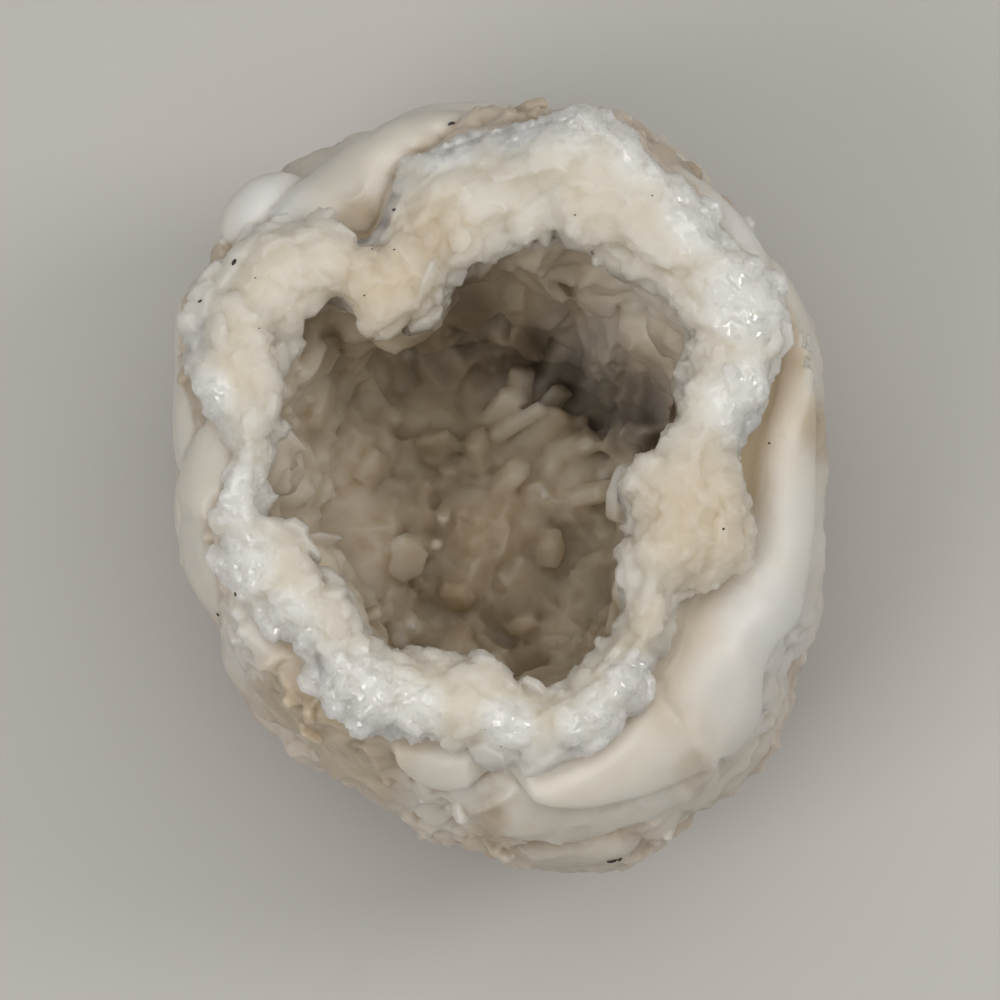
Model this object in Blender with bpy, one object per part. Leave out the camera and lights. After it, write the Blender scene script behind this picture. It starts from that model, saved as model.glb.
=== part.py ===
"""A hollow chalcedony nodule, broken open at the top, with a crust of quartz over its rim and hollow.

Lengths are in millimetres until the last step, which makes them metres. Seen from above, +X is right,
+Y is away from the viewer and +Z is up. The nodule is shaped about the axis of its opening, and set
down at the end on the middle of its bounding box.
"""

import math
import random

import bmesh
import bpy
import numpy as np
from mathutils import Matrix, Vector, noise

METRES = 0.001

# Columns round and rows along each mesh, and the share of its faces that is kept when it is thinned out
SHELL_COLUMNS, SHELL_ROWS, SHELL_KEPT = 150, 120, 0.094
CRUST_COLUMNS, CRUST_ROWS, CRUST_VOXEL, CRUST_KEPT = 200, 130, 0.55, 0.018

# Heights above the flat that the nodule rests on
EQUATOR_Z = 27.0
FOOT_Z = 57.5
CREST_Z = 63.0
FLOOR_Z = 11.5
SHELL_FLOOR_Z = 6.5

# The flat that the nodule rests on, under its centre of mass
BASE_CENTRE = (2.5, 3.5)
BASE_RADIUS = 14.5
BASE_EDGE_RISE = 0.6

# The crust's hidden side follows the shell at a small gap
CRUST_THICKNESS = 4.8
CRUST_THINNEST = 2.6
GAP = 0.8

# Closed outlines about the axis of the opening, as (angle in degrees, radius)
BODY_OUTLINE = (
    (0, 40.8), (20, 42.0), (36, 43.6), (52, 45.3), (70, 47.6), (90, 46.0), (110, 45.6), (125, 44.6),
    (136, 42.6), (149, 41.2), (163, 37.2), (178, 36.2), (192, 34.9), (215, 34.3), (235, 34.5),
    (252, 36.2), (271, 41.2), (294, 45.8), (316, 43.4), (338, 41.2),
)
RING_OUTLINE = (
    (4, 30.5), (17, 35.0), (30, 39.5), (43, 39.0), (58, 41.0), (72, 43.0), (86, 41.0), (98, 39.0),
    (108, 35.0), (114, 31.5), (123, 35.0), (135, 37.5), (153, 37.5), (162, 34.5), (168, 31.0),
    (176, 28.0), (186, 30.5), (201, 31.0), (216, 29.0), (232, 30.5), (249, 32.5), (262, 30.5),
    (270, 30.5), (278, 34.5), (292, 34.0), (304, 31.5), (318, 29.0), (333, 27.5), (343, 30.5),
)
OPENING_OUTLINE = (
    (3, 16.5), (10, 21.0), (24, 26.0), (32, 28.0), (54, 28.0), (75, 28.0), (89, 24.5), (101, 20.0),
    (113, 18.5), (122, 19.5), (130, 25.5), (143, 25.5), (155, 25.0), (170, 23.0), (189, 25.0),
    (203, 21.0), (212, 21.5), (224, 20.0), (240, 22.5), (256, 21.5), (271, 22.0), (286, 26.0),
    (297, 24.5), (310, 23.0), (320, 20.0), (331, 17.5), (340, 18.0), (351, 16.0),
)

# Smooth lobes of chalcedony on the outer wall: angle in degrees, drop down the wall from the foot of the
# ring, half width round the wall, half height down it, rise, and lean as drop gained per width
WALL_LOBES = (
    (-12.0, 11.5, 29.0, 9.5, 3.4, 0.10),
    (-68.0, 10.0, 18.0, 9.0, 3.4, -0.05),
    (128.0, 14.0, 6.5, 6.5, 4.6, 0.0),
    (109.0, 8.5, 14.0, 7.5, 2.8, -0.15),
    (96.0, 19.0, 13.0, 6.5, 2.8, -0.10),
    (47.0, 7.0, 9.0, 6.0, 2.0, 0.10),
    (29.0, 13.0, 10.0, 10.0, 2.2, 0.20),
    (180.0, 8.0, 6.5, 8.0, 2.4, 0.30),
    (195.0, 15.0, 8.0, 10.0, 2.4, 0.40),
    (166.0, 17.0, 7.0, 9.0, 2.6, 0.0),
    (253.0, 8.0, 8.0, 5.0, 2.4, 0.0),
    (233.0, 14.0, 11.0, 6.0, 2.2, 0.20),
)
WALL_LENGTH = 80.0
LOWER_LOBE_DROPS = (25.0, 38.0, 51.0)
LOWER_LOBE_COUNTS = (11, 10, 8)
LOWER_LOBE_RISE = 2.6
WALL_SETBACK = 1.1

# Swellings of the quartz on the ring, seen from above: X, Y, half width and rise
RIM_LOBES = (
    (-9.6, 21.6, 5.5, 1.6), (-1.8, 29.4, 5.5, 1.4), (-21.6, 25.2, 7.0, 1.4), (-31.8, 20.4, 6.0, 1.0),
    (-29.5, 12.0, 6.5, 1.3), (25.2, -6.0, 8.0, 2.0), (31.2, 20.4, 7.5, 1.2), (27.5, 8.4, 6.0, 1.0),
    (14.4, -27.6, 6.0, 1.6), (-1.2, -27.0, 7.5, 1.2), (-15.6, -26.4, 5.5, 1.4), (-24.0, -15.6, 6.5, 1.2),
    (13.2, 36.0, 7.5, 1.2), (-25.0, -1.0, 4.0, 0.8), (22.0, 29.0, 6.5, 0.9),
)
RIM_NOTCHES = ((-13.8, 29.2, 2.6, 2.4), (33.0, 2.5, 3.2, 1.4), (-16.5, 15.5, 3.0, 1.2))

KNOB_SIZE, KNOB_RISE = 5.2, 2.6
RIM_DEEPEST = -1.3
HOLLOW_LUMP_SIZE, HOLLOW_LUMP_RISE = 10.0, 5.0
HOLLOW_KNOB_SIZE, HOLLOW_KNOB_RISE = 4.6, 1.6

# Quartz points that stand out of the crust: how many, and the ranges of their radius and length
RIM_POINTS = (36, (1.1, 1.7), (1.5, 2.3))
HOLLOW_POINTS = (18, (1.4, 2.3), (3.0, 4.6))
POINT_ROOT = 0.8

# Large blades in the hollow: X and Y seen from above, the angle that each leans to, radius, length above
# the crust, and lean from upright in degrees
BLADES = (
    (6.0, 10.5, 35.0, 2.5, 7.0, 55.0),
    (10.0, 9.0, 20.0, 1.9, 6.0, 60.0),
    (1.5, 12.5, 70.0, 2.3, 6.5, 50.0),
    (12.5, 3.5, 0.0, 2.0, 5.0, 55.0),
    (-9.0, -4.0, 100.0, 1.7, 4.0, 20.0),
    (3.0, 5.0, 50.0, 2.1, 5.0, 45.0),
)

SHELL_COLOUR = (0.59, 0.56, 0.50, 1.0)
CRUST_COLOUR = (0.61, 0.58, 0.51, 1.0)


def smooth_step(value, low, high):
    """0 below low, 1 above high and a smooth ramp between them."""
    share = np.clip((value - low) / (high - low), 0.0, 1.0)
    return share * share * (3.0 - 2.0 * share)


def curve_through(knots, values, where):
    """The smooth curve through values at knots, read at where. Values may hold a row for each knot."""
    slopes = np.gradient(values, knots, axis=0)
    start = np.clip(np.searchsorted(knots, where, side="right") - 1, 0, len(knots) - 2)
    span = knots[start + 1] - knots[start]
    share = (where - knots[start]) / span
    if values.ndim == 3:
        columns = np.arange(len(where))
        first, last = values[start, columns], values[start + 1, columns]
        leaving, arriving = slopes[start, columns], slopes[start + 1, columns]
        share, span = share[:, None], span[:, None]
    else:
        first, last = values[start], values[start + 1]
        leaving, arriving = slopes[start], slopes[start + 1]
    square, cube = share**2, share**3
    return (
        first * (2 * cube - 3 * square + 1)
        + last * (3 * square - 2 * cube)
        + leaving * span * (cube - 2 * square + share)
        + arriving * span * (cube - square)
    )


def radius_at(outline, angle):
    """Radius of a closed outline at each angle in degrees."""
    angles, radii = (np.array(column, float) for column in zip(*outline))
    knots = np.concatenate([angles - 360, angles, angles + 360])
    return curve_through(knots, np.tile(radii, 3), np.mod(angle, 360))


def section(radius, height, angle, centre=(0.0, 0.0)):
    """Points of one level of a loft, at each angle."""
    turn = np.radians(angle)
    x = centre[0] + radius * np.cos(turn)
    y = centre[1] + radius * np.sin(turn)
    return np.stack([x, y, np.broadcast_to(height, x.shape)], axis=-1)


def crest_height(angle):
    """The broken rim isn't level: it rises and dips by a few millimetres round the ring."""
    turn = np.radians(angle)
    return CREST_Z + 1.3 * np.sin(turn * 2 + 0.6) + 1.0 * np.sin(turn * 3 - 1.0)


def foot_height(angle):
    """Where the crust's outer edge ends on the wall. It wanders up and down more than the crest does."""
    turn = np.radians(angle)
    wander = 1.1 * np.sin(turn * 5 + 0.4) + 0.8 * np.sin(turn * 9 + 2.0)
    return crest_height(angle) - (CREST_Z - FOOT_Z) - 0.4 + wander


def hollow_radius(angle, depth_share):
    """Radius of the lined hollow, from the lip at 0 to the start of its floor at 1."""
    opening = radius_at(OPENING_OUTLINE, angle)
    round_wall = np.maximum(24.5 + 3.5 * np.cos(np.radians(angle - 55)), opening + 0.5)
    share = smooth_step(depth_share, 0.0, 0.4)
    return opening * (1 - share) + (round_wall - 7.0 * depth_share**2) * share


def shell_sections(angle):
    """Knots and levels of the shell, from the flat under it, up the outside and down to the inner floor."""
    body = radius_at(BODY_OUTLINE, angle)
    ring = radius_at(RING_OUTLINE, angle)
    opening = radius_at(OPENING_OUTLINE, angle)
    foot = foot_height(angle)
    step = body - ring
    base = np.asarray(BASE_CENTRE)
    wall = CRUST_THICKNESS + GAP
    flat = np.full_like(body, BASE_RADIUS)
    levels = (
        (0.0, section(0.0 * body, 0.0, angle, base)),
        (0.08, section(flat, 0.0, angle, base)),
        (0.11, section(flat + 2.5, BASE_EDGE_RISE, angle, base)),
        (0.20, section(0.70 * body, 6.5, angle, base * 0.5)),
        (0.28, section(0.90 * body, 15.0, angle, base * 0.15)),
        (0.36, section(body, EQUATOR_Z, angle)),
        (0.44, section(ring + 0.93 * step, EQUATOR_Z + 0.42 * (foot - EQUATOR_Z), angle)),
        (0.51, section(ring + 0.70 * step, EQUATOR_Z + 0.76 * (foot - EQUATOR_Z), angle)),
        (0.55, section(ring + 0.38 * step, EQUATOR_Z + 0.93 * (foot - EQUATOR_Z), angle)),
        (0.58, section(ring, foot, angle)),
        (0.61, section(0.78 * ring + 0.22 * opening, foot + 0.7, angle)),
        (0.65, section(0.53 * ring + 0.47 * opening, foot - 0.2, angle)),
        (0.69, section(hollow_radius(angle, 0.15) + wall, foot - 6.0, angle)),
        (0.77, section(hollow_radius(angle, 0.50) + wall, 36.0, angle)),
        (0.86, section(hollow_radius(angle, 0.85) + wall, 18.0, angle)),
        (0.94, section(0.55 * hollow_radius(angle, 1.0), SHELL_FLOOR_Z + 0.6, angle)),
        (1.0, section(0.0 * body, SHELL_FLOOR_Z, angle)),
    )
    knots, places = zip(*levels)
    return np.array(knots), np.stack(places)


SHELL_BASE_EDGE, SHELL_FOOT, SHELL_RIM_TOP = 0.08, 0.58, 0.615


def shell_base(angle, along):
    """The shell before its lobes, at each angle and share along its section."""
    knots, places = shell_sections(angle)
    return curve_through(knots, places, along)


def facing(surface, angle, along):
    """Unit normals of a surface, by small steps round it and along it."""
    turn_step, along_step = 0.5, 0.003
    middle = np.clip(along, along_step, 1 - along_step)
    around = surface(angle + turn_step, middle) - surface(angle - turn_step, middle)
    upward = surface(angle, middle + along_step) - surface(angle, middle - along_step)
    normals = np.cross(around, upward)
    return normals / np.maximum(np.linalg.norm(normals, axis=1, keepdims=True), 1e-9)


CRUST_EDGE = 0.36


def crust_sections(angle):
    """Knots and levels of the crust's open side, from its edge on the shell, over the rim and down inside."""
    ring = radius_at(RING_OUTLINE, angle)
    opening = radius_at(OPENING_OUTLINE, angle)
    foot, crest = foot_height(angle), crest_height(angle)
    levels = (
        (CRUST_EDGE, section(ring - 0.9, foot + GAP + 0.2, angle)),
        (0.395, section(ring - 0.4, foot + 0.45 * (crest - foot), angle)),
        (0.44, section(0.80 * ring + 0.20 * opening, crest - 1.0, angle)),
        (0.51, section(0.45 * ring + 0.55 * opening, crest, angle)),
        (0.57, section(0.08 * ring + 0.92 * opening, crest - 2.6, angle)),
        (0.62, section(hollow_radius(angle, 0.0) + 0.2, foot - 2.5, angle)),
        (0.71, section(hollow_radius(angle, 0.35), 42.0, angle)),
        (0.82, section(hollow_radius(angle, 0.75), 24.0, angle)),
        (0.91, section(0.66 * hollow_radius(angle, 1.0), FLOOR_Z + 2.5, angle)),
        (1.0, section(0.0 * ring, FLOOR_Z, angle)),
    )
    knots, places = zip(*levels)
    return np.array(knots), np.stack(places)


def crust_base(angle, along):
    """The crust before its knobs. Its hidden side follows the shell at a small gap."""
    knots, places = crust_sections(angle)
    seen = curve_through(knots, places, np.maximum(along, CRUST_EDGE))
    behind = 1.0 - (1.0 - SHELL_RIM_TOP) * np.clip(along / CRUST_EDGE, 0, 1)
    hidden = shell_base(angle, behind)
    hidden = hidden + GAP * facing(shell_base, angle, behind)
    return np.where((along < CRUST_EDGE)[:, None], hidden, seen)


def ripple(points, size, octaves=3):
    """Soft noise between about -1 and 1."""
    return np.array([noise.fractal(Vector(point / size), 1.0, 2.0, octaves) for point in points])


def domes(points, size):
    """Domes about one size wide, packed at random, from 1 on their tops to 0 in the deepest creases."""
    middles = np.array([noise.voronoi(Vector(point / size))[0][0] for point in points])
    return np.clip(1.0 - (middles / 0.75) ** 2, 0.0, 1.0)


def lower_lobes():
    """Lobes on the lower wall, in rows that overlap like drapery."""
    chance = random.Random(11)
    found = []
    for drop, count in zip(LOWER_LOBE_DROPS, LOWER_LOBE_COUNTS):
        for place in range(count):
            angle = 360.0 * (place + chance.uniform(-0.3, 0.3)) / count + drop
            width = chance.uniform(10.0, 15.0) * (1.0 - drop / 150.0)
            height = chance.uniform(6.5, 9.0)
            lean = chance.uniform(-0.35, 0.35)
            found.append((angle, drop + chance.uniform(-3, 3), width, height, LOWER_LOBE_RISE, lean))
    return found


def wall_relief(points, angle, drop):
    """Height of the topmost lobe at each point of the wall."""
    reach = np.hypot(points[:, 0], points[:, 1])
    wander = 1.8 * ripple(points, 14.0, 2)
    best = np.zeros(len(points))
    for centre, centre_drop, half_width, half_height, rise, lean in (*WALL_LOBES, *lower_lobes()):
        turned = np.mod(angle - centre + 180.0, 360.0) - 180.0
        across = np.radians(turned) * reach
        down = drop - centre_drop - lean * across + wander
        inside = 1.0 - (across / half_width) ** 2 - (down / half_height) ** 2
        best = np.maximum(best, rise * np.clip(inside, 0.0, 1.0) ** 0.6)
    return best


def shell_surface(angle, along):
    """The shell with its lobes, lumps and rough skin, which fade out on the flat and under the crust."""
    base = shell_base(angle, along)
    drop = WALL_LENGTH * (SHELL_FOOT - along) / (SHELL_FOOT - SHELL_BASE_EDGE)
    above_flat = smooth_step(along, 0.09, 0.15)
    below_ring = 1 - smooth_step(along, SHELL_FOOT - 0.025, SHELL_FOOT - 0.008)
    lobes = wall_relief(base, angle, drop)
    rough = domes(base + 3.0 * ripple(base, 9.0)[:, None], 4.6) - 0.5
    rise = lobes - WALL_SETBACK + 0.8 * ripple(base, 16.0) + 0.7 * rough * (lobes < 0.4)
    out = base + facing(shell_base, angle, along) * (rise * above_flat * below_ring)[:, None]
    out[:, 2] = np.maximum(out[:, 2], 0.0)
    return out


def rim_relief(points):
    """Swellings and notches of the ring, seen from above."""
    rise = np.zeros(len(points))
    for x, y, half_width, height in RIM_LOBES:
        away = ((points[:, 0] - x) ** 2 + (points[:, 1] - y) ** 2) / half_width**2
        rise = np.maximum(rise, height * np.clip(1.0 - away, 0.0, 1.0) ** 0.5)
    for x, y, half_width, depth in RIM_NOTCHES:
        away = ((points[:, 0] - x) ** 2 + (points[:, 1] - y) ** 2) / half_width**2
        rise = rise - depth * np.exp(-away)
    return rise


def floor_relief(points):
    """The floor is a mound left of and nearer than the axis, above a trench along the far right wall."""
    mound = np.exp(-((points[:, 0] + 3.0) ** 2 + (points[:, 1] - 0.5) ** 2) / (2 * 10.0**2))
    reach = np.hypot(points[:, 0], points[:, 1])
    angle = np.degrees(np.arctan2(points[:, 1], points[:, 0]))
    trench = np.exp(-((reach - 17.5) ** 2) / (2 * 4.0**2)) * np.exp(-((angle - 62.0) ** 2) / (2 * 38.0**2))
    return 7.5 * mound - 1.0 * trench


def crust_surface(angle, along):
    """The crust with its knobs on the rim and its larger lumps in the hollow."""
    base = crust_base(angle, along)
    seen = smooth_step(along, CRUST_EDGE + 0.002, CRUST_EDGE + 0.03)
    inside = smooth_step(along, 0.58, 0.68)
    bent = base + 1.4 * ripple(base, 6.0)[:, None]
    rim = np.maximum(KNOB_RISE * (domes(bent, KNOB_SIZE) - 0.6) + rim_relief(base) - 0.4, RIM_DEEPEST)
    lumps = HOLLOW_LUMP_RISE * (domes(bent + 31.0, HOLLOW_LUMP_SIZE) - 0.5)
    lumps = lumps + HOLLOW_KNOB_RISE * (domes(bent, HOLLOW_KNOB_SIZE) - 0.6)
    rise = rim * (1 - inside) + np.maximum(lumps, CRUST_THINNEST - CRUST_THICKNESS) * inside
    out = base + facing(crust_base, angle, along) * (rise * seen)[:, None]
    out[:, 2] += floor_relief(base) * smooth_step(along, 0.80, 0.93)
    return out


def pushed_in_sphere(name, segments, rings, surface):
    """A UV sphere whose points are moved onto a surface given by angle and share from pole to pole."""
    mesh = bpy.data.meshes.new(name)
    shape = bmesh.new()
    bmesh.ops.create_uvsphere(shape, u_segments=segments, v_segments=rings, radius=1.0)
    points = np.array([vertex.co for vertex in shape.verts])
    angle = np.degrees(np.arctan2(points[:, 1], points[:, 0]))
    along = 1.0 - np.arccos(np.clip(points[:, 2], -1, 1)) / math.pi
    for vertex, place in zip(shape.verts, surface(angle, along)):
        vertex.co = place
    bmesh.ops.recalc_face_normals(shape, faces=shape.faces)
    shape.to_mesh(mesh)
    shape.free()
    obj = bpy.data.objects.new(name, mesh)
    bpy.context.scene.collection.objects.link(obj)
    return obj


def part_crossings(obj):
    """Makes one plain surface of a mesh whose folds may cross each other."""
    modifier = obj.modifiers.new("plain_surface", "REMESH")
    modifier.mode = "VOXEL"
    modifier.voxel_size = CRUST_VOXEL


def thin_out(obj, kept):
    """Keeps this share of the faces, most of them where the surface bends."""
    modifier = obj.modifiers.new("fewer_faces", "DECIMATE")
    modifier.ratio = kept


def quartz_point(name, root, direction, radius, length, prism_share):
    """A six-sided crystal with a pointed end, rooted a little below a place on the crust."""
    mesh = bpy.data.meshes.new(name)
    shape = bmesh.new()
    prism = POINT_ROOT + prism_share * length
    bmesh.ops.create_cone(
        shape, cap_ends=True, segments=6, radius1=radius, radius2=0.94 * radius, depth=prism
    )
    top = max(shape.faces, key=lambda face: face.calc_center_median().z)
    tip = bmesh.ops.poke(shape, faces=[top])["verts"][0]
    tip.co.z += (1.0 - prism_share) * length
    stand = Matrix.Translation((0.0, 0.0, prism / 2 - POINT_ROOT))
    upright = Vector(direction).to_track_quat("Z", "Y").to_matrix().to_4x4()
    shape.transform(Matrix.Translation(Vector(root)) @ upright @ stand)
    shape.to_mesh(mesh)
    shape.free()
    obj = bpy.data.objects.new(name, mesh)
    obj.hide_render = True
    return obj


def points_on_crust(name, amount, radii, lengths, span, lean, prism_share, chance):
    """Quartz points at random places on a span of the crust, each leaning a little from upright on it."""
    turns = np.array([360.0 * ((place * 0.618) % 1.0) for place in range(amount)])
    alongs = np.array([chance.uniform(*span) for _ in range(amount)])
    places = crust_surface(turns, alongs)
    normals = facing(crust_base, turns, alongs)
    found = []
    for place, normal in zip(places, normals):
        away = normal + np.array([chance.uniform(-lean, lean) for _ in range(3)])
        radius, length = chance.uniform(*radii), chance.uniform(*lengths)
        found.append(quartz_point(name, place, away, radius, length, prism_share))
    return found


def floor_blades():
    """The large blades that stand on the floor of the hollow."""
    floor_knots = np.linspace(0.83, 1.0, 60)
    found = []
    for x, y, leans_to, radius, length, lean in BLADES:
        turns = np.full(len(floor_knots), math.degrees(math.atan2(y, x)))
        line = crust_surface(turns, floor_knots)
        root = line[np.argmin(np.hypot(line[:, 0] - x, line[:, 1] - y))]
        tilt, turn = math.radians(lean), math.radians(leans_to)
        direction = (math.sin(tilt) * math.cos(turn), math.sin(tilt) * math.sin(turn), math.cos(tilt))
        found.append(quartz_point("blade", root, direction, radius, length, 0.7))
    return found


def fuse(obj, pieces):
    """Joins the pieces to the object."""
    group = bpy.data.collections.new("quartz_points")
    for piece in pieces:
        group.objects.link(piece)
    bpy.context.scene.collection.children.link(group)
    joining = obj.modifiers.new("fused", "BOOLEAN")
    joining.operation = "UNION"
    joining.operand_type = "COLLECTION"
    joining.collection = group


def largest_piece(shape):
    """Deletes every separate surface but the one with the most faces, such as a sealed pocket's."""
    left = set(shape.faces)
    pieces = []
    while left:
        edge_faces = [left.pop()]
        piece = list(edge_faces)
        while edge_faces:
            near = {face for edge in edge_faces.pop().edges for face in edge.link_faces} & left
            left -= near
            edge_faces += near
            piece += near
        pieces.append(piece)
    pieces.sort(key=len)
    lost = [face for piece in pieces[:-1] for face in piece]
    bmesh.ops.delete(shape, geom=lost, context="FACES")


def bake(obj):
    """Replaces the object's mesh with what its modifiers make of it."""
    bpy.context.view_layer.update()
    graph = bpy.context.evaluated_depsgraph_get()
    mesh = bpy.data.meshes.new_from_object(obj.evaluated_get(graph))
    shape = bmesh.new()
    shape.from_mesh(mesh)
    largest_piece(shape)
    shape.to_mesh(mesh)
    shape.free()
    obj.modifiers.clear()
    obj.data = mesh
    mesh.name = obj.name


def paint(obj, name, colour, roughness):
    """Gives the object a plain material of its own."""
    material = bpy.data.materials.new(name)
    material.use_nodes = True
    surface = material.node_tree.nodes["Principled BSDF"]
    surface.inputs["Base Color"].default_value = colour
    surface.inputs["Roughness"].default_value = roughness
    obj.data.materials.append(material)


def set_down(objects):
    """Stands the objects on the middle of their bounding box, in metres."""
    points = np.array([vertex.co for obj in objects for vertex in obj.data.vertices])
    low, high = points.min(axis=0), points.max(axis=0)
    middle = Vector((*((low + high) / 2)[:2], low[2]))
    for obj in objects:
        obj.data.transform(Matrix.Scale(METRES, 4) @ Matrix.Translation(-middle))


def main():
    for obj in list(bpy.data.objects):
        bpy.data.objects.remove(obj)
    shell = pushed_in_sphere("chalcedony_shell", SHELL_COLUMNS, SHELL_ROWS, shell_surface)
    crust = pushed_in_sphere("quartz_crust", CRUST_COLUMNS, CRUST_ROWS, crust_surface)
    thin_out(shell, SHELL_KEPT)
    bake(shell)
    chance = random.Random(5)
    points = points_on_crust("rim_point", *RIM_POINTS, (0.40, 0.62), 0.5, 0.15, chance)
    points += points_on_crust("hollow_point", *HOLLOW_POINTS, (0.68, 0.96), 0.6, 0.45, chance)
    points += floor_blades()
    part_crossings(crust)
    thin_out(crust, CRUST_KEPT)
    fuse(crust, points)
    bake(crust)
    for point in points:
        bpy.data.objects.remove(point)
    paint(shell, "chalcedony", SHELL_COLOUR, 0.35)
    paint(crust, "quartz", CRUST_COLOUR, 0.25)
    set_down([shell, crust])


main()
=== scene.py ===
"""The looks of the chalcedony nodule: skin, sugary rim, lined hollow, crystal points, studio.

The shapes are worked out in millimetres about the axis of the nodule's opening, as the solids are, and each
finished mesh is then moved into the frame and turned into metres.
"""

import logging
import math
import random
from dataclasses import dataclass
from enum import Enum
from typing import Callable, Sequence

import bpy
import numpy as np
from mathutils import Matrix, Vector, noise
from mathutils.kdtree import KDTree

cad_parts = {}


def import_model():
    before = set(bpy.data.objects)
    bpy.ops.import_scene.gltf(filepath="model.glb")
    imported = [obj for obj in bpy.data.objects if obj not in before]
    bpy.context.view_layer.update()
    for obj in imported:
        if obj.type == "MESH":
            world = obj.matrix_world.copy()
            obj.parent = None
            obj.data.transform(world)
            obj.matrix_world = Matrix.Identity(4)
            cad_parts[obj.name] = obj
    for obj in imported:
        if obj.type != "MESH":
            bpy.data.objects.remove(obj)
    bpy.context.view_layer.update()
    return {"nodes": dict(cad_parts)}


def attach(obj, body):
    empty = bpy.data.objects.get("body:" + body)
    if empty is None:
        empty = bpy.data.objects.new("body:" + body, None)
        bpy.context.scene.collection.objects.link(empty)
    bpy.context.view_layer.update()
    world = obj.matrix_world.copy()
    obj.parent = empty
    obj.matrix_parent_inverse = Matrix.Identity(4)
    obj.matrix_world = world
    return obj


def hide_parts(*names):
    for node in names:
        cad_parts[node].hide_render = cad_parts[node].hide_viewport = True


log = logging.getLogger("chalcedony")

MM = 0.001
BODY = "root"

# Where the axis of the opening stands in the frame, in millimetres
AXIS_PLACE = (-2.148, -1.730, 0.0)

Surface = Callable[[np.ndarray, np.ndarray], np.ndarray]
Thickness = Callable[[np.ndarray, np.ndarray], np.ndarray]
Marks = dict[str, np.ndarray]


class Slot(Enum):
    """The names of the material slots."""

    CHALCEDONY = "chalcedony"
    QUARTZ = "quartz"


def smooth_step(value: np.ndarray | float, low: float, high: float) -> np.ndarray:
    """0 below low, 1 above high and a smooth ramp between them."""
    share = np.clip((np.asarray(value, float) - low) / (high - low), 0.0, 1.0)
    return share * share * (3.0 - 2.0 * share)


def curve_through(knots: np.ndarray, values: np.ndarray, where: np.ndarray) -> np.ndarray:
    """The smooth curve through values at knots.

    Args:
        knots: where the values stand, rising.
        values: one value for each knot, or a row of points for each knot.
        where: the places to read.

    Returns:
        The value or point at each place.
    """
    slopes = np.gradient(values, knots, axis=0)
    start = np.clip(np.searchsorted(knots, where, side="right") - 1, 0, len(knots) - 2)
    span = knots[start + 1] - knots[start]
    share = (where - knots[start]) / span
    if values.ndim == 3:
        columns = np.arange(len(where))
        first, last = values[start, columns], values[start + 1, columns]
        leaving, arriving = slopes[start, columns], slopes[start + 1, columns]
        share, span = share[:, None], span[:, None]
    else:
        first, last = values[start], values[start + 1]
        leaving, arriving = slopes[start], slopes[start + 1]
    square, cube = share**2, share**3
    return (
        first * (2 * cube - 3 * square + 1)
        + last * (3 * square - 2 * cube)
        + leaving * span * (cube - 2 * square + share)
        + arriving * span * (cube - square)
    )


def radius_at(outline: Sequence[tuple[float, float]], angle: np.ndarray) -> np.ndarray:
    """Radius of a closed outline at each angle in degrees."""
    angles, radii = (np.array(column, float) for column in zip(*outline))
    knots = np.concatenate([angles - 360, angles, angles + 360])
    return curve_through(knots, np.tile(radii, 3), np.mod(angle, 360))


def ripple(points: np.ndarray, size: float, octaves: int = 3) -> np.ndarray:
    """Soft noise between about -1 and 1, with swells of about that size in millimetres."""
    fractal = noise.fractal
    return np.array([fractal(point, 1.0, 2.0, octaves) for point in (points / size).tolist()])


def nearest_seeds(points: np.ndarray, size: float) -> tuple[np.ndarray, np.ndarray]:
    """The nearest seed of a random net, for each point.

    Args:
        points: where to look, in millimetres.
        size: the net's cell.

    Returns:
        The distances to the nearest seeds in cells, and the seeds in millimetres.
    """
    found = [noise.voronoi(point) for point in (points / size).tolist()]
    distances = np.array([item[0][0] for item in found])
    seeds = np.array([tuple(item[1][0]) for item in found]) * size
    return distances, seeds


def domes(points: np.ndarray, size: float) -> np.ndarray:
    """Domes about one size wide, packed at random, from 1 on their tops to 0 in the deepest creases."""
    return np.clip(1.0 - (nearest_seeds(points, size)[0] / 0.75) ** 2, 0.0, 1.0)


def scatter(seeds: np.ndarray, salt: float) -> np.ndarray:
    """A random number from 0 to 1 for each seed, the same each run."""
    mixed = np.sin(seeds @ np.array([12.9898, 78.233, 37.719]) + salt) * 43758.5453
    return mixed - np.floor(mixed)


def broken_faces(points: np.ndarray, size: float, step: float, tilt: float) -> np.ndarray:
    """Heights of flat broken faces that fit together, each at its own level and tilted its own way.

    Args:
        points: where to look, in millimetres.
        size: about how wide a face is.
        step: how far a face may stand above or below the mean.
        tilt: the steepest tilt in degrees.

    Returns:
        The height at each point in millimetres.
    """
    seeds = nearest_seeds(points, size)[1]
    leaning = np.stack([scatter(seeds, salt) for salt in (1.7, 5.3, 9.1)], axis=1) - 0.5
    slope = ((points - seeds) * leaning).sum(axis=1) * 2.0 * math.tan(math.radians(tilt))
    return step * (2.0 * scatter(seeds, 4.4) - 1.0) + slope


@dataclass(frozen=True)
class Patch:
    """A round patch of the nodule as seen from above: its centre, its radius and how strong it is."""

    x: float
    y: float
    radius: float
    strength: float = 1.0


def patches_at(patches: Sequence[Patch], places: np.ndarray, lowest: float = 0.0) -> np.ndarray:
    """How far inside any of the patches each place lies.

    Args:
        patches: the patches, with soft edges.
        places: points in millimetres.
        lowest: the height below which the patches end.

    Returns:
        From 0 outside to a patch's strength at its middle.
    """
    found = np.zeros(len(places))
    for patch in patches:
        away = np.hypot(places[:, 0] - patch.x, places[:, 1] - patch.y) / patch.radius
        found = np.maximum(found, patch.strength * (1.0 - smooth_step(away, 0.4, 1.3)))
    return found * smooth_step(places[:, 2], lowest, lowest + 6.0)


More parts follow.
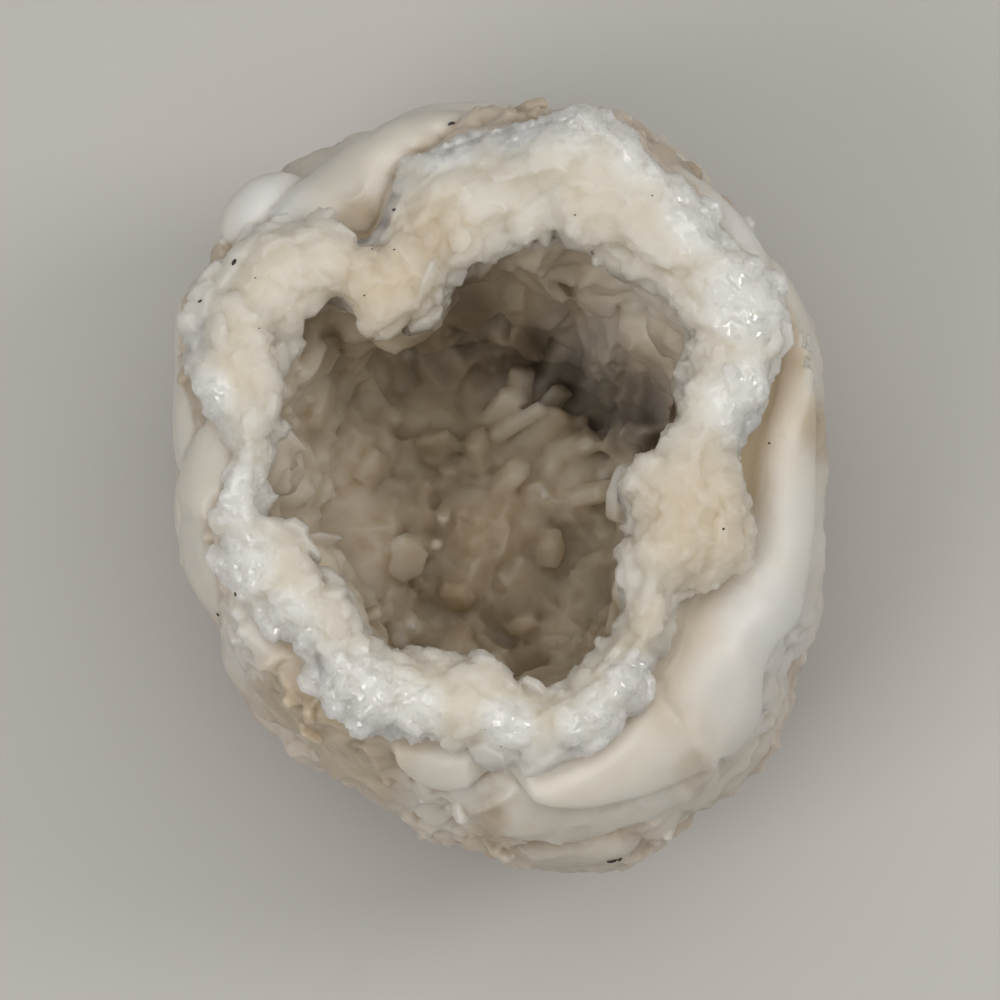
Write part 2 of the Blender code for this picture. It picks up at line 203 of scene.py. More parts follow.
@dataclass
class NoduleForm:
    """The nodule's sections, from the same driving dimensions as the solids. Lengths are in millimetres."""

    equator_z: float = 27.0
    foot_z: float = 57.5
    crest_z: float = 63.0
    floor_z: float = 11.5
    shell_floor_z: float = 6.5
    base_centre: tuple[float, float] = (2.5, 3.5)
    base_radius: float = 14.5
    base_edge_rise: float = 0.6
    crust_thickness: float = 4.8
    crust_thinnest: float = 2.6
    gap: float = 0.8
    crust_edge: float = 0.36
    shell_base_edge: float = 0.08
    shell_foot: float = 0.58
    shell_rim_top: float = 0.615
    body_outline: tuple[tuple[float, float], ...] = (
        (0, 40.8), (20, 42.0), (36, 43.6), (52, 45.3), (70, 47.6), (90, 46.0), (110, 45.6),
        (125, 44.6), (136, 42.6), (149, 41.2), (163, 37.2), (178, 36.2), (192, 34.9), (215, 34.3),
        (235, 34.5), (252, 36.2), (271, 41.2), (294, 45.8), (316, 43.4), (338, 41.2),
    )
    ring_outline: tuple[tuple[float, float], ...] = (
        (4, 30.5), (17, 35.0), (30, 39.5), (43, 39.0), (58, 41.0), (72, 43.0), (86, 41.0), (98, 39.0),
        (108, 35.0), (114, 31.5), (123, 35.0), (135, 37.5), (153, 37.5), (162, 34.5), (168, 31.0),
        (176, 28.0), (186, 30.5), (201, 31.0), (216, 29.0), (232, 30.5), (249, 32.5), (262, 30.5),
        (270, 30.5), (278, 34.5), (292, 34.0), (304, 31.5), (318, 29.0), (333, 27.5), (343, 30.5),
    )
    opening_outline: tuple[tuple[float, float], ...] = (
        (3, 16.5), (10, 21.0), (24, 26.0), (32, 28.0), (54, 28.0), (75, 28.0), (89, 24.5), (101, 20.0),
        (113, 18.5), (122, 19.5), (130, 25.5), (143, 25.5), (155, 25.0), (170, 23.0), (189, 25.0),
        (203, 21.0), (212, 21.5), (224, 20.0), (240, 22.5), (256, 21.5), (271, 22.0), (286, 26.0),
        (297, 24.5), (310, 23.0), (320, 20.0), (331, 17.5), (340, 18.0), (351, 16.0),
    )

    def section(
        self, radius: np.ndarray, height: np.ndarray | float, angle: np.ndarray, centre: Sequence[float] = (0.0, 0.0)
    ) -> np.ndarray:
        """Points of one level of a loft, at each angle in degrees."""
        turn = np.radians(angle)
        x = centre[0] + radius * np.cos(turn)
        y = centre[1] + radius * np.sin(turn)
        return np.stack([x, y, np.broadcast_to(height, x.shape)], axis=-1)

    def crest_height(self, angle: np.ndarray) -> np.ndarray:
        """The broken rim rises and dips by a few millimetres round the ring."""
        turn = np.radians(angle)
        return self.crest_z + 1.3 * np.sin(turn * 2 + 0.6) + 1.0 * np.sin(turn * 3 - 1.0)

    def foot_height(self, angle: np.ndarray) -> np.ndarray:
        """Where the crust's outer edge ends on the wall."""
        turn = np.radians(angle)
        wander = 1.1 * np.sin(turn * 5 + 0.4) + 0.8 * np.sin(turn * 9 + 2.0)
        return self.crest_height(angle) - (self.crest_z - self.foot_z) - 0.4 + wander

    def hollow_radius(self, angle: np.ndarray, depth_share: float) -> np.ndarray:
        """Radius of the lined hollow, from the lip at 0 to the start of its floor at 1."""
        opening = radius_at(self.opening_outline, angle)
        round_wall = np.maximum(24.5 + 3.5 * np.cos(np.radians(angle - 55)), opening + 0.5)
        share = smooth_step(depth_share, 0.0, 0.4)
        return opening * (1 - share) + (round_wall - 7.0 * depth_share**2) * share

    def shell(self, angle: np.ndarray, along: np.ndarray) -> np.ndarray:
        """The shell before its lobes, from the flat under it, up the outside and down to its inner floor."""
        body = radius_at(self.body_outline, angle)
        ring = radius_at(self.ring_outline, angle)
        opening = radius_at(self.opening_outline, angle)
        foot = self.foot_height(angle)
        step = body - ring
        climb = foot - self.equator_z
        base = np.asarray(self.base_centre)
        wall = self.crust_thickness + self.gap
        flat = np.full_like(body, self.base_radius)
        levels = (
            (0.0, self.section(0.0 * body, 0.0, angle, base)),
            (0.08, self.section(flat, 0.0, angle, base)),
            (0.11, self.section(flat + 2.5, self.base_edge_rise, angle, base)),
            (0.20, self.section(0.70 * body, 6.5, angle, base * 0.5)),
            (0.28, self.section(0.90 * body, 15.0, angle, base * 0.15)),
            (0.36, self.section(body, self.equator_z, angle)),
            (0.44, self.section(ring + 0.93 * step, self.equator_z + 0.42 * climb, angle)),
            (0.51, self.section(ring + 0.70 * step, self.equator_z + 0.76 * climb, angle)),
            (0.55, self.section(ring + 0.38 * step, self.equator_z + 0.93 * climb, angle)),
            (0.58, self.section(ring, foot, angle)),
            (0.61, self.section(0.78 * ring + 0.22 * opening, foot + 0.7, angle)),
            (0.65, self.section(0.53 * ring + 0.47 * opening, foot - 0.2, angle)),
            (0.69, self.section(self.hollow_radius(angle, 0.15) + wall, foot - 6.0, angle)),
            (0.77, self.section(self.hollow_radius(angle, 0.50) + wall, 36.0, angle)),
            (0.86, self.section(self.hollow_radius(angle, 0.85) + wall, 18.0, angle)),
            (0.94, self.section(0.55 * self.hollow_radius(angle, 1.0), self.shell_floor_z + 0.6, angle)),
            (1.0, self.section(0.0 * body, self.shell_floor_z, angle)),
        )
        knots, places = zip(*levels)
        return curve_through(np.array(knots), np.stack(places), along)

    def crust(self, angle: np.ndarray, along: np.ndarray) -> np.ndarray:
        """The crust before its knobs: its edge on the wall, the rim, the wall of the hollow and the floor."""
        ring = radius_at(self.ring_outline, angle)
        opening = radius_at(self.opening_outline, angle)
        foot, crest = self.foot_height(angle), self.crest_height(angle)
        levels = (
            (self.crust_edge, self.section(ring - 0.9, foot + self.gap + 0.2, angle)),
            (0.395, self.section(ring - 0.4, foot + 0.45 * (crest - foot), angle)),
            (0.44, self.section(0.80 * ring + 0.20 * opening, crest - 1.0, angle)),
            (0.51, self.section(0.45 * ring + 0.55 * opening, crest, angle)),
            (0.57, self.section(0.08 * ring + 0.92 * opening, crest - 2.6, angle)),
            (0.62, self.section(self.hollow_radius(angle, 0.0) + 0.2, foot - 2.5, angle)),
            (0.71, self.section(self.hollow_radius(angle, 0.35), 42.0, angle)),
            (0.82, self.section(self.hollow_radius(angle, 0.75), 24.0, angle)),
            (0.91, self.section(0.66 * self.hollow_radius(angle, 1.0), self.floor_z + 2.5, angle)),
            (1.0, self.section(0.0 * ring, self.floor_z, angle)),
        )
        knots, places = zip(*levels)
        return curve_through(np.array(knots), np.stack(places), np.maximum(along, self.crust_edge))


def facing(surface: Surface, angle: np.ndarray, along: np.ndarray) -> np.ndarray:
    """Unit normals of a surface, by small steps round it and along it."""
    turn_step, along_step = 0.5, 0.003
    middle = np.clip(along, along_step, 1 - along_step)
    around = surface(angle + turn_step, middle) - surface(angle - turn_step, middle)
    upward = surface(angle, middle + along_step) - surface(angle, middle - along_step)
    normals = np.cross(around, upward)
    return normals / np.maximum(np.linalg.norm(normals, axis=1, keepdims=True), 1e-9)


def clear_selection() -> None:
    """Deselects every object, so that an operator acts on the new piece alone."""
    bpy.ops.object.select_all(action="DESELECT")


def settle_in_frame(piece: bpy.types.Object, stands_for: str | None) -> None:
    """Moves a piece's mesh from the axis, in millimetres, into the frame, and hangs it on the body.

    Args:
        piece: the finished object, still about the axis of the opening.
        stands_for: the CAD node that it replaces, if it replaces one.
    """
    piece.data.transform(Matrix.Scale(MM, 4) @ Matrix.Translation(Vector(AXIS_PLACE)))
    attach(piece, BODY)
    if stands_for:
        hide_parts(stands_for)


def write_marks(mesh: bpy.types.Mesh, marks: Marks) -> None:
    """Keeps numbers for each point of the mesh, for its material to read."""
    for name, values in marks.items():
        attribute = mesh.attributes.new(name, "FLOAT", "POINT")
        attribute.data.foreach_set("value", values.astype(np.float32))


Shape = Callable[[np.ndarray, np.ndarray], tuple[np.ndarray, Marks]]


def take_shape(piece: bpy.types.Object, name: str, places: np.ndarray, marks: Marks) -> bpy.types.Object:
    """Names a new primitive and moves its points to their places."""
    piece.name = piece.data.name = name
    piece.data.vertices.foreach_set("co", places.ravel())
    write_marks(piece.data, marks)
    piece.data.update()
    piece.data.shade_smooth()
    return piece


def points_of(mesh: bpy.types.Mesh) -> np.ndarray:
    """The mesh's points as an array."""
    points = np.empty(len(mesh.vertices) * 3)
    mesh.vertices.foreach_get("co", points)
    return points.reshape(-1, 3)


def wrapped_sphere(name: str, columns: int, rows: int, shape: Shape) -> bpy.types.Object:
    """A UV sphere whose points are moved onto a cup or a pushed-in ball.

    Args:
        name: the piece's name.
        columns: points round the sphere.
        rows: points from pole to pole.
        shape: gives the places and the marks at each angle and share of the way from pole to pole.

    Returns:
        The new object.
    """
    clear_selection()
    bpy.ops.mesh.primitive_uv_sphere_add(segments=columns, ring_count=rows, radius=1.0)
    piece = bpy.context.object
    points = points_of(piece.data)
    angle = np.degrees(np.arctan2(points[:, 1], points[:, 0]))
    along = 1.0 - np.arccos(np.clip(points[:, 2], -1, 1)) / math.pi
    return take_shape(piece, name, *shape(angle, along))


def wrapped_ring(name: str, columns: int, rows: int, shape: Shape) -> bpy.types.Object:
    """A torus whose points are moved onto a closed band.

    Args:
        name: the piece's name.
        columns: points round the ring.
        rows: points round its section.
        shape: gives the places and the marks at each angle and share of the way round the section.

    Returns:
        The new object.
    """
    clear_selection()
    bpy.ops.mesh.primitive_torus_add(
        major_segments=columns, minor_segments=rows, major_radius=1.0, minor_radius=0.25
    )
    piece = bpy.context.object
    points = points_of(piece.data)
    angle = np.degrees(np.arctan2(points[:, 1], points[:, 0]))
    outward = np.hypot(points[:, 0], points[:, 1]) - 1.0
    along = np.mod(np.arctan2(points[:, 2], outward) / (2 * math.pi), 1.0)
    return take_shape(piece, name, *shape(angle, along))


def apply_modifier(piece: bpy.types.Object, kind: str, **settings: object) -> None:
    """Adds one modifier to a piece and applies it."""
    clear_selection()
    bpy.context.view_layer.objects.active = piece
    piece.select_set(True)
    modifier = piece.modifiers.new(kind.lower(), kind)
    for name, value in settings.items():
        setattr(modifier, name, value)
    bpy.ops.object.modifier_apply(modifier=modifier.name)


def triangle_count(mesh: bpy.types.Mesh) -> int:
    """How many triangles the mesh comes to."""
    mesh.calc_loop_triangles()
    return len(mesh.loop_triangles)


def fuse(piece: bpy.types.Object, others: list[bpy.types.Object], cell: float, most: int, rounds: int) -> None:
    """Makes one closed skin of a piece and what overlaps it.

    Args:
        piece: the piece that takes the others in.
        others: closed pieces that grow out of it. They are used up.
        cell: the finest detail that is kept, in millimetres.
        most: the most triangles that the piece may have.
        rounds: how often its edges are softened.
    """
    clear_selection()
    for other in others:
        other.select_set(True)
    piece.select_set(True)
    bpy.context.view_layer.objects.active = piece
    bpy.ops.object.join()
    apply_modifier(piece, "REMESH", mode="VOXEL", voxel_size=cell)
    if rounds:
        apply_modifier(piece, "SMOOTH", factor=0.5, iterations=rounds)
    made = triangle_count(piece.data)
    if made > most:
        apply_modifier(piece, "DECIMATE", ratio=most / made, use_collapse_triangulate=True)
    piece.data.shade_smooth()


def recess_of(mesh: bpy.types.Mesh, rounds: int, full: float) -> np.ndarray:
    """How deep each point lies below its surroundings.

    Args:
        mesh: the mesh to measure.
        rounds: how many edges away the surroundings reach.
        full: the depth in millimetres that counts as 1.

    Returns:
        1 in a deep crease, 0 on a plain stretch and -1 on a sharp tip.
    """
    points = points_of(mesh)
    normals = np.empty(len(points) * 3)
    mesh.vertex_normals.foreach_get("vector", normals)
    ends = np.empty(len(mesh.edges) * 2, np.int32)
    mesh.edges.foreach_get("vertices", ends)
    first, last = ends.reshape(-1, 2).T
    links = np.bincount(first, minlength=len(points)) + np.bincount(last, minlength=len(points))
    around = points.copy()
    for _ in range(rounds):
        total = np.empty_like(around)
        for axis in range(3):
            total[:, axis] = np.bincount(first, around[last, axis], len(points))
            total[:, axis] += np.bincount(last, around[first, axis], len(points))
        around = 0.3 * around + 0.7 * total / links[:, None]
    return np.clip(((around - points) * normals.reshape(-1, 3)).sum(axis=1) / full, -1, 1)


def carry_marks(mesh: bpy.types.Mesh, places: np.ndarray, marks: Marks) -> None:
    """Gives each point of a fused mesh the marks of the nearest place that had them."""
    tree = KDTree(len(places))
    for index, place in enumerate(places.tolist()):
        tree.insert(place, index)
    tree.balance()
    nearest = np.array([tree.find(point)[1] for point in points_of(mesh).tolist()])
    write_marks(mesh, {name: values[nearest] for name, values in marks.items()})


@dataclass(frozen=True)
class PointKind:
    """One kind of small quartz crystal. Lengths are in millimetres, leans in degrees.

    Worn is the share of its height that a crystal loses where the stone under it faces up.
    """

    amount: int
    spacing: float
    radius: tuple[float, float]
    shown: tuple[float, float]
    lean: float
    root: float = 1.0
    tip: float = 1.1
    flatness: float = 0.25
    worn: float = 0.0


def well_spaced(places: np.ndarray, spacing: float) -> np.ndarray:
    """Picks places that are at least one spacing apart, in their order."""
    taken: dict[tuple[int, int, int], tuple[float, float, float]] = {}
    kept = []
    steps = [(i, j, k) for i in (-1, 0, 1) for j in (-1, 0, 1) for k in (-1, 0, 1)]
    for index, place in enumerate(places.tolist()):
        cell = tuple(math.floor(value / spacing) for value in place)
        near = (taken.get((cell[0] + i, cell[1] + j, cell[2] + k)) for i, j, k in steps)
        if any(other and math.dist(other, place) < spacing for other in near):
            continue
        taken[cell] = tuple(place)
        kept.append(index)
    return np.array(kept)


def spots_on(
    piece: bpy.types.Object, kind: PointKind, wanted: Thickness, chance: np.random.Generator
) -> tuple[np.ndarray, np.ndarray]:
    """Random places on the seen side of a piece.

    Args:
        piece: the piece, whose mark "shown" is 1 on its seen side.
        kind: gives how many places there are at most, and how far apart.
        wanted: how thickly the crystals stand, by the place and by how far the stone faces up there.
        chance: the random numbers.

    Returns:
        The places and the normals there.
    """
    mesh = piece.data
    mesh.calc_loop_triangles()
    corners = np.empty(len(mesh.loop_triangles) * 3, np.int32)
    mesh.loop_triangles.foreach_get("vertices", corners)
    corners = corners.reshape(-1, 3)
    points = points_of(mesh)
    normals = np.empty(len(points) * 3)
    mesh.vertex_normals.foreach_get("vector", normals)
    shown = np.empty(len(points), np.float32)
    mesh.attributes["shown"].data.foreach_get("value", shown)
    sides = points[corners]
    across = np.cross(sides[:, 1] - sides[:, 0], sides[:, 2] - sides[:, 0])
    area = np.maximum(np.linalg.norm(across, axis=1), 1e-9)
    weight = area * (shown[corners].min(axis=1) > 0.5) * wanted(sides.mean(axis=1), across[:, 2] / area)
    picks = chance.choice(len(area), kind.amount * 4, p=weight / weight.sum())
    shares = chance.dirichlet((1.0, 1.0, 1.0), len(picks))[:, :, None]
    places = (sides[picks] * shares).sum(axis=1)
    upward = (normals.reshape(-1, 3)[corners[picks]] * shares).sum(axis=1)
    upward /= np.maximum(np.linalg.norm(upward, axis=1, keepdims=True), 1e-9)
    kept = well_spaced(places, kind.spacing)[: kind.amount]
    return places[kept], upward[kept]


def quartz_template() -> tuple[np.ndarray, list[list[int]]]:
    """One six-sided crystal of unit size: its root at 0, its shoulder at 1 and its tip at 2.

    Returns:
        Its points and its faces.
    """
    clear_selection()
    bpy.ops.mesh.primitive_cylinder_add(
        vertices=6, radius=1.0, depth=1.0, end_fill_type="TRIFAN", location=(0.0, 0.0, 0.5)
    )
    crystal = bpy.context.object
    bpy.ops.object.mode_set(mode="EDIT")
    bpy.ops.mesh.select_all(action="DESELECT")
    bpy.ops.object.mode_set(mode="OBJECT")
    for vertex in crystal.data.vertices:
        vertex.select = math.hypot(vertex.co.x, vertex.co.y) < 0.01 and vertex.co.z > 0.0
    bpy.ops.object.mode_set(mode="EDIT")
    bpy.ops.transform.translate(value=(0.0, 0.0, 1.0))
    bpy.ops.object.mode_set(mode="OBJECT")
    points = points_of(crystal.data) + (0.0, 0.0, 0.5)
    faces = [list(face.vertices) for face in crystal.data.polygons]
    bpy.data.objects.remove(crystal)
    return points, faces


@dataclass
class CrystalSet:
    """Crystals to be copied from one: where each is rooted, which way it points, and its sizes in millimetres."""

    places: np.ndarray
    upright: np.ndarray
    radius: np.ndarray
    narrow: np.ndarray
    shown: np.ndarray
    root: float
    tip: float

    def build(self, name: str, chance: np.random.Generator) -> bpy.types.Object:
        """Makes one joined mesh of the crystals.

        Args:
            name: the mesh's name.
            chance: the random numbers, for how each crystal is turned and its tip pushed aside.

        Returns:
            The new object, with every crystal closed.
        """
        template, faces = quartz_template()
        count = len(self.places)
        side = np.cross(self.upright, chance.normal(size=(count, 3)))
        side /= np.linalg.norm(side, axis=1, keepdims=True)
        third = np.cross(self.upright, side)
        shoulder = np.maximum(self.shown - self.tip * self.narrow, -0.9 * self.root)
        heights = np.stack([np.full(count, -self.root), shoulder, self.shown], axis=1)
        level = np.rint(template[:, 2]).astype(int)
        skew = chance.uniform(-0.4, 0.4, (count, 2)) * self.radius[:, None]
        at_tip = (level == 2)[None, :]
        x = template[None, :, 0] * self.radius[:, None] + at_tip * skew[:, :1]
        y = template[None, :, 1] * self.narrow[:, None] + at_tip * skew[:, 1:]
        z = heights[:, level]
        points = (
            self.places[:, None, :]
            + x[:, :, None] * side[:, None, :]
            + y[:, :, None] * third[:, None, :]
            + z[:, :, None] * self.upright[:, None, :]
        )
        size = len(template)
        all_faces = [[corner + size * copy for corner in face] for copy in range(count) for face in faces]
        mesh = bpy.data.meshes.new(name)
        mesh.from_pydata(points.reshape(-1, 3), [], all_faces)
        piece = bpy.data.objects.new(name, mesh)
        bpy.context.scene.collection.objects.link(piece)
        log.info("%s: %d crystals", name, count)
        return piece


def quartz_points(
    name: str, places: np.ndarray, upward: np.ndarray, kind: PointKind, sizes: np.ndarray, chance: np.random.Generator
) -> bpy.types.Object:
    """A joined mesh of small crystals of one kind.

    Args:
        name: the mesh's name.
        places: where they stand.
        upward: the surface's normals there.
        kind: their sizes.
        sizes: a factor on the size of each.
        chance: the random numbers.

    Returns:
        The new object.
    """
    count = len(places)
    leaning = chance.normal(size=(count, 3))
    leaning *= np.tan(np.radians(kind.lean)) * chance.uniform(0, 1, (count, 1)) / np.linalg.norm(
        leaning, axis=1, keepdims=True
    )
    upright = upward + leaning
    upright /= np.linalg.norm(upright, axis=1, keepdims=True)
    radius = chance.uniform(*kind.radius, count) * sizes
    narrow = radius * (1 - kind.flatness * chance.uniform(0, 1, count))
    worn = 1.0 - kind.worn * smooth_step(upward[:, 2], 0.3, 0.95)
    shown = chance.uniform(*kind.shown, count) * sizes * worn
    return CrystalSet(places, upright, radius, narrow, shown, kind.root, kind.tip).build(name, chance)


@dataclass(frozen=True)
class Crystal:
    """One listed crystal: where it is rooted as seen from above, and how it lies."""

    x: float
    y: float
    toward: float
    radius: float
    length: float
    lean: float


def placed(name: str, crystals: Sequence[Crystal], stone: bpy.types.Object, seed: int) -> bpy.types.Object:
    """Listed crystals placed on a piece.

    Args:
        name: the piece's name.
        crystals: where they are and how they lie.
        stone: the piece that they stand on.
        seed: for the random numbers.

    Returns:
        The new object.
    """
    mesh = stone.data
    ground = points_of(mesh)
    normals = np.empty(len(ground) * 3)
    mesh.vertex_normals.foreach_get("vector", normals)
    seen = normals.reshape(-1, 3)[:, 2] > 0.15
    ground = ground[seen]
    roots = []
    for crystal in crystals:
        away = np.hypot(ground[:, 0] - crystal.x, ground[:, 1] - crystal.y)
        roots.append(ground[away < max(away.min() + 0.3, 0.6)].max(axis=0) * (0, 0, 1) + (crystal.x, crystal.y, 0))
    lean, toward, radius, length = (
        np.array([getattr(crystal, field) for crystal in crystals])
        for field in ("lean", "toward", "radius", "length")
    )
    tilt, turn = np.radians(lean), np.radians(toward)
    upright = np.stack([np.sin(tilt) * np.cos(turn), np.sin(tilt) * np.sin(turn), np.cos(tilt)], axis=1)
    chance = np.random.default_rng(seed)
    narrow = radius * chance.uniform(0.45, 0.8, len(radius))
    return CrystalSet(np.array(roots), upright, radius, narrow, length, 1.2, 0.6).build(name, chance)


@dataclass(frozen=True)
class Fold:
    """One smooth fold of chalcedony that runs round the wall, with a rolled lower edge.

    Each knot gives an angle in degrees, and how far down the wall from the foot of the rim the fold starts and ends.
    Ragged is how deep the notches of its lower edge are, and sheen how smooth its surface is, from 0 to 1.
    """

    knots: tuple[tuple[float, float, float], ...]
    rise: float
    edge: float = 2.0
    ragged: float = 0.0
    sheen: float = 1.0

    def scallops(self, angle: np.ndarray) -> np.ndarray:
        """How far the lower edge hangs down or is notched at each angle."""
        turns, place = np.unique(np.round(angle, 2), return_inverse=True)
        round_wall = np.radians(turns)
        path = np.stack([40 * np.cos(round_wall), 40 * np.sin(round_wall), np.full(len(turns), 7 * self.rise)], axis=1)
        teeth = 1.3 * np.abs(ripple(path, 6.0, 2)) + 0.5 * np.abs(ripple(path + 80.0, 2.4, 2)) - 0.5
        return self.ragged * teeth[place]

    def relief(self, angle: np.ndarray, drop: np.ndarray) -> tuple[np.ndarray, ...]:
        """The fold's shape at each angle and drop.

        Args:
            angle: angles in degrees.
            drop: distances down the wall from the foot of the rim.

        Returns:
            How far the fold stands out, 1 where it covers the wall, how far its lip hangs down over the wall, and 1
            in the crease under the lip, which is coloured tan partly as painted shadow and partly as an iron stain.
        """
        angles, upper, lower = (np.array(column, float) for column in zip(*self.knots))
        middle = (angles[0] + angles[-1]) / 2
        turned = (angle - middle + 180) % 360 - 180 + middle
        start = curve_through(angles, upper, np.clip(turned, angles[0], angles[-1]))
        stop = curve_through(angles, lower, np.clip(turned, angles[0], angles[-1]))
        if self.ragged:
            stop = stop + self.scallops(turned)
        inside = smooth_step(turned, angles[0], angles[0] + 6) * smooth_step(-turned, -angles[-1], 6 - angles[-1])
        swell = smooth_step((drop - start) / np.maximum(stop - start, 1.0), 0.0, 0.85)
        above = stop - drop
        edge = np.clip(above / self.edge, 0, 1)
        height = self.rise * inside * swell * (1 - (1 - edge) ** 2.5) ** 0.5
        hang = smooth_step(above, 0.0, 0.6) * (1 - smooth_step(above, 0.8, 3.5))
        tuck = smooth_step(-above, 0.0, 0.4) * (1 - smooth_step(-above, 0.6, 2.2))
        cover = self.sheen * inside * smooth_step(above, 0.0, 0.7)
        # The crease under the lip: partly painted shadow, partly an iron stain
        crease = self.sheen * inside * smooth_step(above, -1.8, -0.3) * (1 - smooth_step(above, 0.0, 0.5))
        return height, cover, inside * self.rise * (0.55 * hang - 0.28 * tuck), crease


def eased(values: np.ndarray, most: float, ease: float = 2.0) -> np.ndarray:
    """Bends what reaches past a limit gently back under it."""
    past = np.maximum(values - most + ease, 0.0)
    return np.where(past > 0, most - ease * np.exp(-past / ease), values)


@dataclass
class ShellSkin:
    """The chalcedony: smooth folds, waxy lobes like drapery, and a rough skin of small plates between them."""

    form: NoduleForm
    columns: int = 560
    rows: int = 214
    # Share of the rows that the outer wall takes, from the flat to the foot of the rim
    wall_rows: float = 0.84
    wall_length: float = 80.0
    setback: float = 1.1
    folds: tuple[Fold, ...] = (
        Fold(
            (
                (-57, 0, 8.5), (-51, 0, 10.6), (-48, -1, 12.9), (-43, -1, 14.5), (-39, -1, 13.3), (-36, -1, 10.6),
                (-30, -1, 9.8), (-22, 0, 11.6), (-17, 1, 9.8), (-12, 2, 8.8), (-3, 3, 9.3), (5, 3, 9.2), (14, 3, 6.8),
                (22, 2, 5.0), (30, 2, 3.5),
            ),
            3.4,
            1.6,
        ),
        Fold(
            (
                (-86, -9, 2.5), (-82, -9, 2.6), (-77, -9, 4.0), (-71, -9, 5.6), (-64, -9, 7.2), (-58, -8, 9.0),
                (-51, -4, 10.0), (-46, 0, 9.0),
            ),
            2.7,
            2.2,
        ),
        Fold(
            ((-100, 2, 11), (-92, 2, 13), (-84, 2, 15), (-76, 2, 16), (-68, 2, 15), (-60, 2, 16), (-52, 6, 16)),
            1.3,
            1.0,
            1.8,
            0.8,
        ),
        Fold(
            (
                (-62, 2, 15), (-50, 2, 18), (-43, 2, 20.5), (-36, 2, 18), (-28, 2, 17.5), (-20, 2, 18), (-10, 2, 17),
                (0, 2, 16.5), (10, 2, 15), (20, 2, 13), (32, 2, 9),
            ),
            2.1,
            0.8,
            2.4,
            0.6,
        ),
        Fold(((-58, 9, 14), (-51, 9, 19), (-45, 9, 20), (-39, 9, 15)), 2.7, 0.8, 0.9, 0.55),
        Fold(((-43, 10, 16), (-35, 9, 21), (-28, 10, 17)), 2.6, 0.8, 0.9, 0.55),
        Fold(((-31, 8, 15), (-23, 8, 20.5), (-15, 8, 15)), 2.6, 0.8, 0.9, 0.55),
        Fold(((-18, 8, 15), (-9, 8, 19), (-2, 8, 15)), 2.4, 0.8, 0.9, 0.55),
        Fold(((-4, 8, 14), (5, 8, 18.5), (12, 8, 13)), 2.4, 0.8, 0.9, 0.55),
        Fold(((8, 7, 11), (17, 7, 15), (25, 7, 10)), 2.2, 0.8, 0.9, 0.55),
        Fold(((-66, 8, 24), (-45, 8, 28), (-20, 8, 27), (5, 8, 26), (20, 8, 23), (40, 8, 20)), 1.1, 0.9, 2.0, 0.45),
        Fold(((202, -6, 3), (210, -6, 4), (220, -6, 5.5), (232, -6, 5), (245, -6, 6), (256, -5, 3)), 2.4, 1.0, 1.6, 0.28),
        Fold(((200, 0, 9), (208, 0, 11), (220, 0, 12), (238, 0, 11), (258, 0, 11)), 1.6, 0.9, 1.8, 0.28),
        Fold(((197, 4, 17), (208, 4, 19), (222, 4, 18), (242, 4, 20), (264, 4, 18)), 1.0, 0.9, 1.8, 0.25),
        Fold(
            ((-112, -5, 0), (-108, -5, 1.0), (-105, -5, 4.5), (-99, -6, 7.0), (-93, -6, 6.2), (-86, -5, 2.0)),
            3.0,
            1.8,
        ),
    )
    # Angle, drop from the foot of the rim, half width, half height, rise, lean as drop gained per width
    lobes: tuple[tuple[float, ...], ...] = (
        (128.0, 14.0, 6.5, 6.5, 4.6, 0.0),
        (109.0, 8.5, 14.0, 7.5, 2.8, -0.15),
        (96.0, 19.0, 13.0, 6.5, 2.8, -0.10),
        (47.0, 7.0, 9.0, 6.0, 2.0, 0.10),
        (29.0, 13.0, 10.0, 10.0, 2.2, 0.20),
        (180.0, 8.0, 6.5, 8.0, 2.4, 0.30),
        (195.0, 15.0, 8.0, 10.0, 2.4, 0.40),
        (166.0, 17.0, 7.0, 9.0, 2.6, 0.0),
        (270.5, 9.5, 3.6, 1.2, 1.7, -1.5),
    )
    lower_drops: tuple[float, ...] = (25.0, 38.0, 51.0)
    lower_counts: tuple[int, ...] = (11, 10, 8)
    lower_rise: float = 2.6
    points: tuple[PointKind, ...] = (
        PointKind(1500, 1.9, (1.2, 2.4), (0.1, 0.6), 26.0, flatness=0.5, tip=0.3),
        PointKind(4200, 0.8, (0.45, 1.0), (0.05, 0.35), 36.0, flatness=0.5, tip=0.4),
    )
    cell: float = 0.32
    most_triangles: int = 197000
    # The solids' box, less what the small crystals add: least and greatest x, then y
    reach: tuple[tuple[float, float], ...] = ((-36.9, 41.4), (-43.9, 47.6))
    # Tan and brown patches; the weak one at (-4.2, -35.8) is painted shade that darkens the bluish patch
    warm: tuple[Patch, ...] = (
        Patch(-13.8, 30.6, 3.0, 0.8), Patch(-4.0, 41.0, 4.0, 0.1),
        Patch(39.5, 6.5, 4.0, 0.7),
        Patch(9.6, -42.0, 8.0, 0.1), Patch(-4.2, -35.8, 5.5, 0.25), Patch(-20.4, -30.0, 10.0, 0.6), Patch(-14.0, -36.0, 8.0, 0.6),
        Patch(-30.0, -21.0, 6.0, 0.5), Patch(22.0, -24.0, 7.0, 0.35), Patch(24.5, -33.2, 2.6, 0.35),
        Patch(1.0, -39.0, 2.4, 0.8), Patch(-1.5, -41.5, 2.4, 0.8),
    )
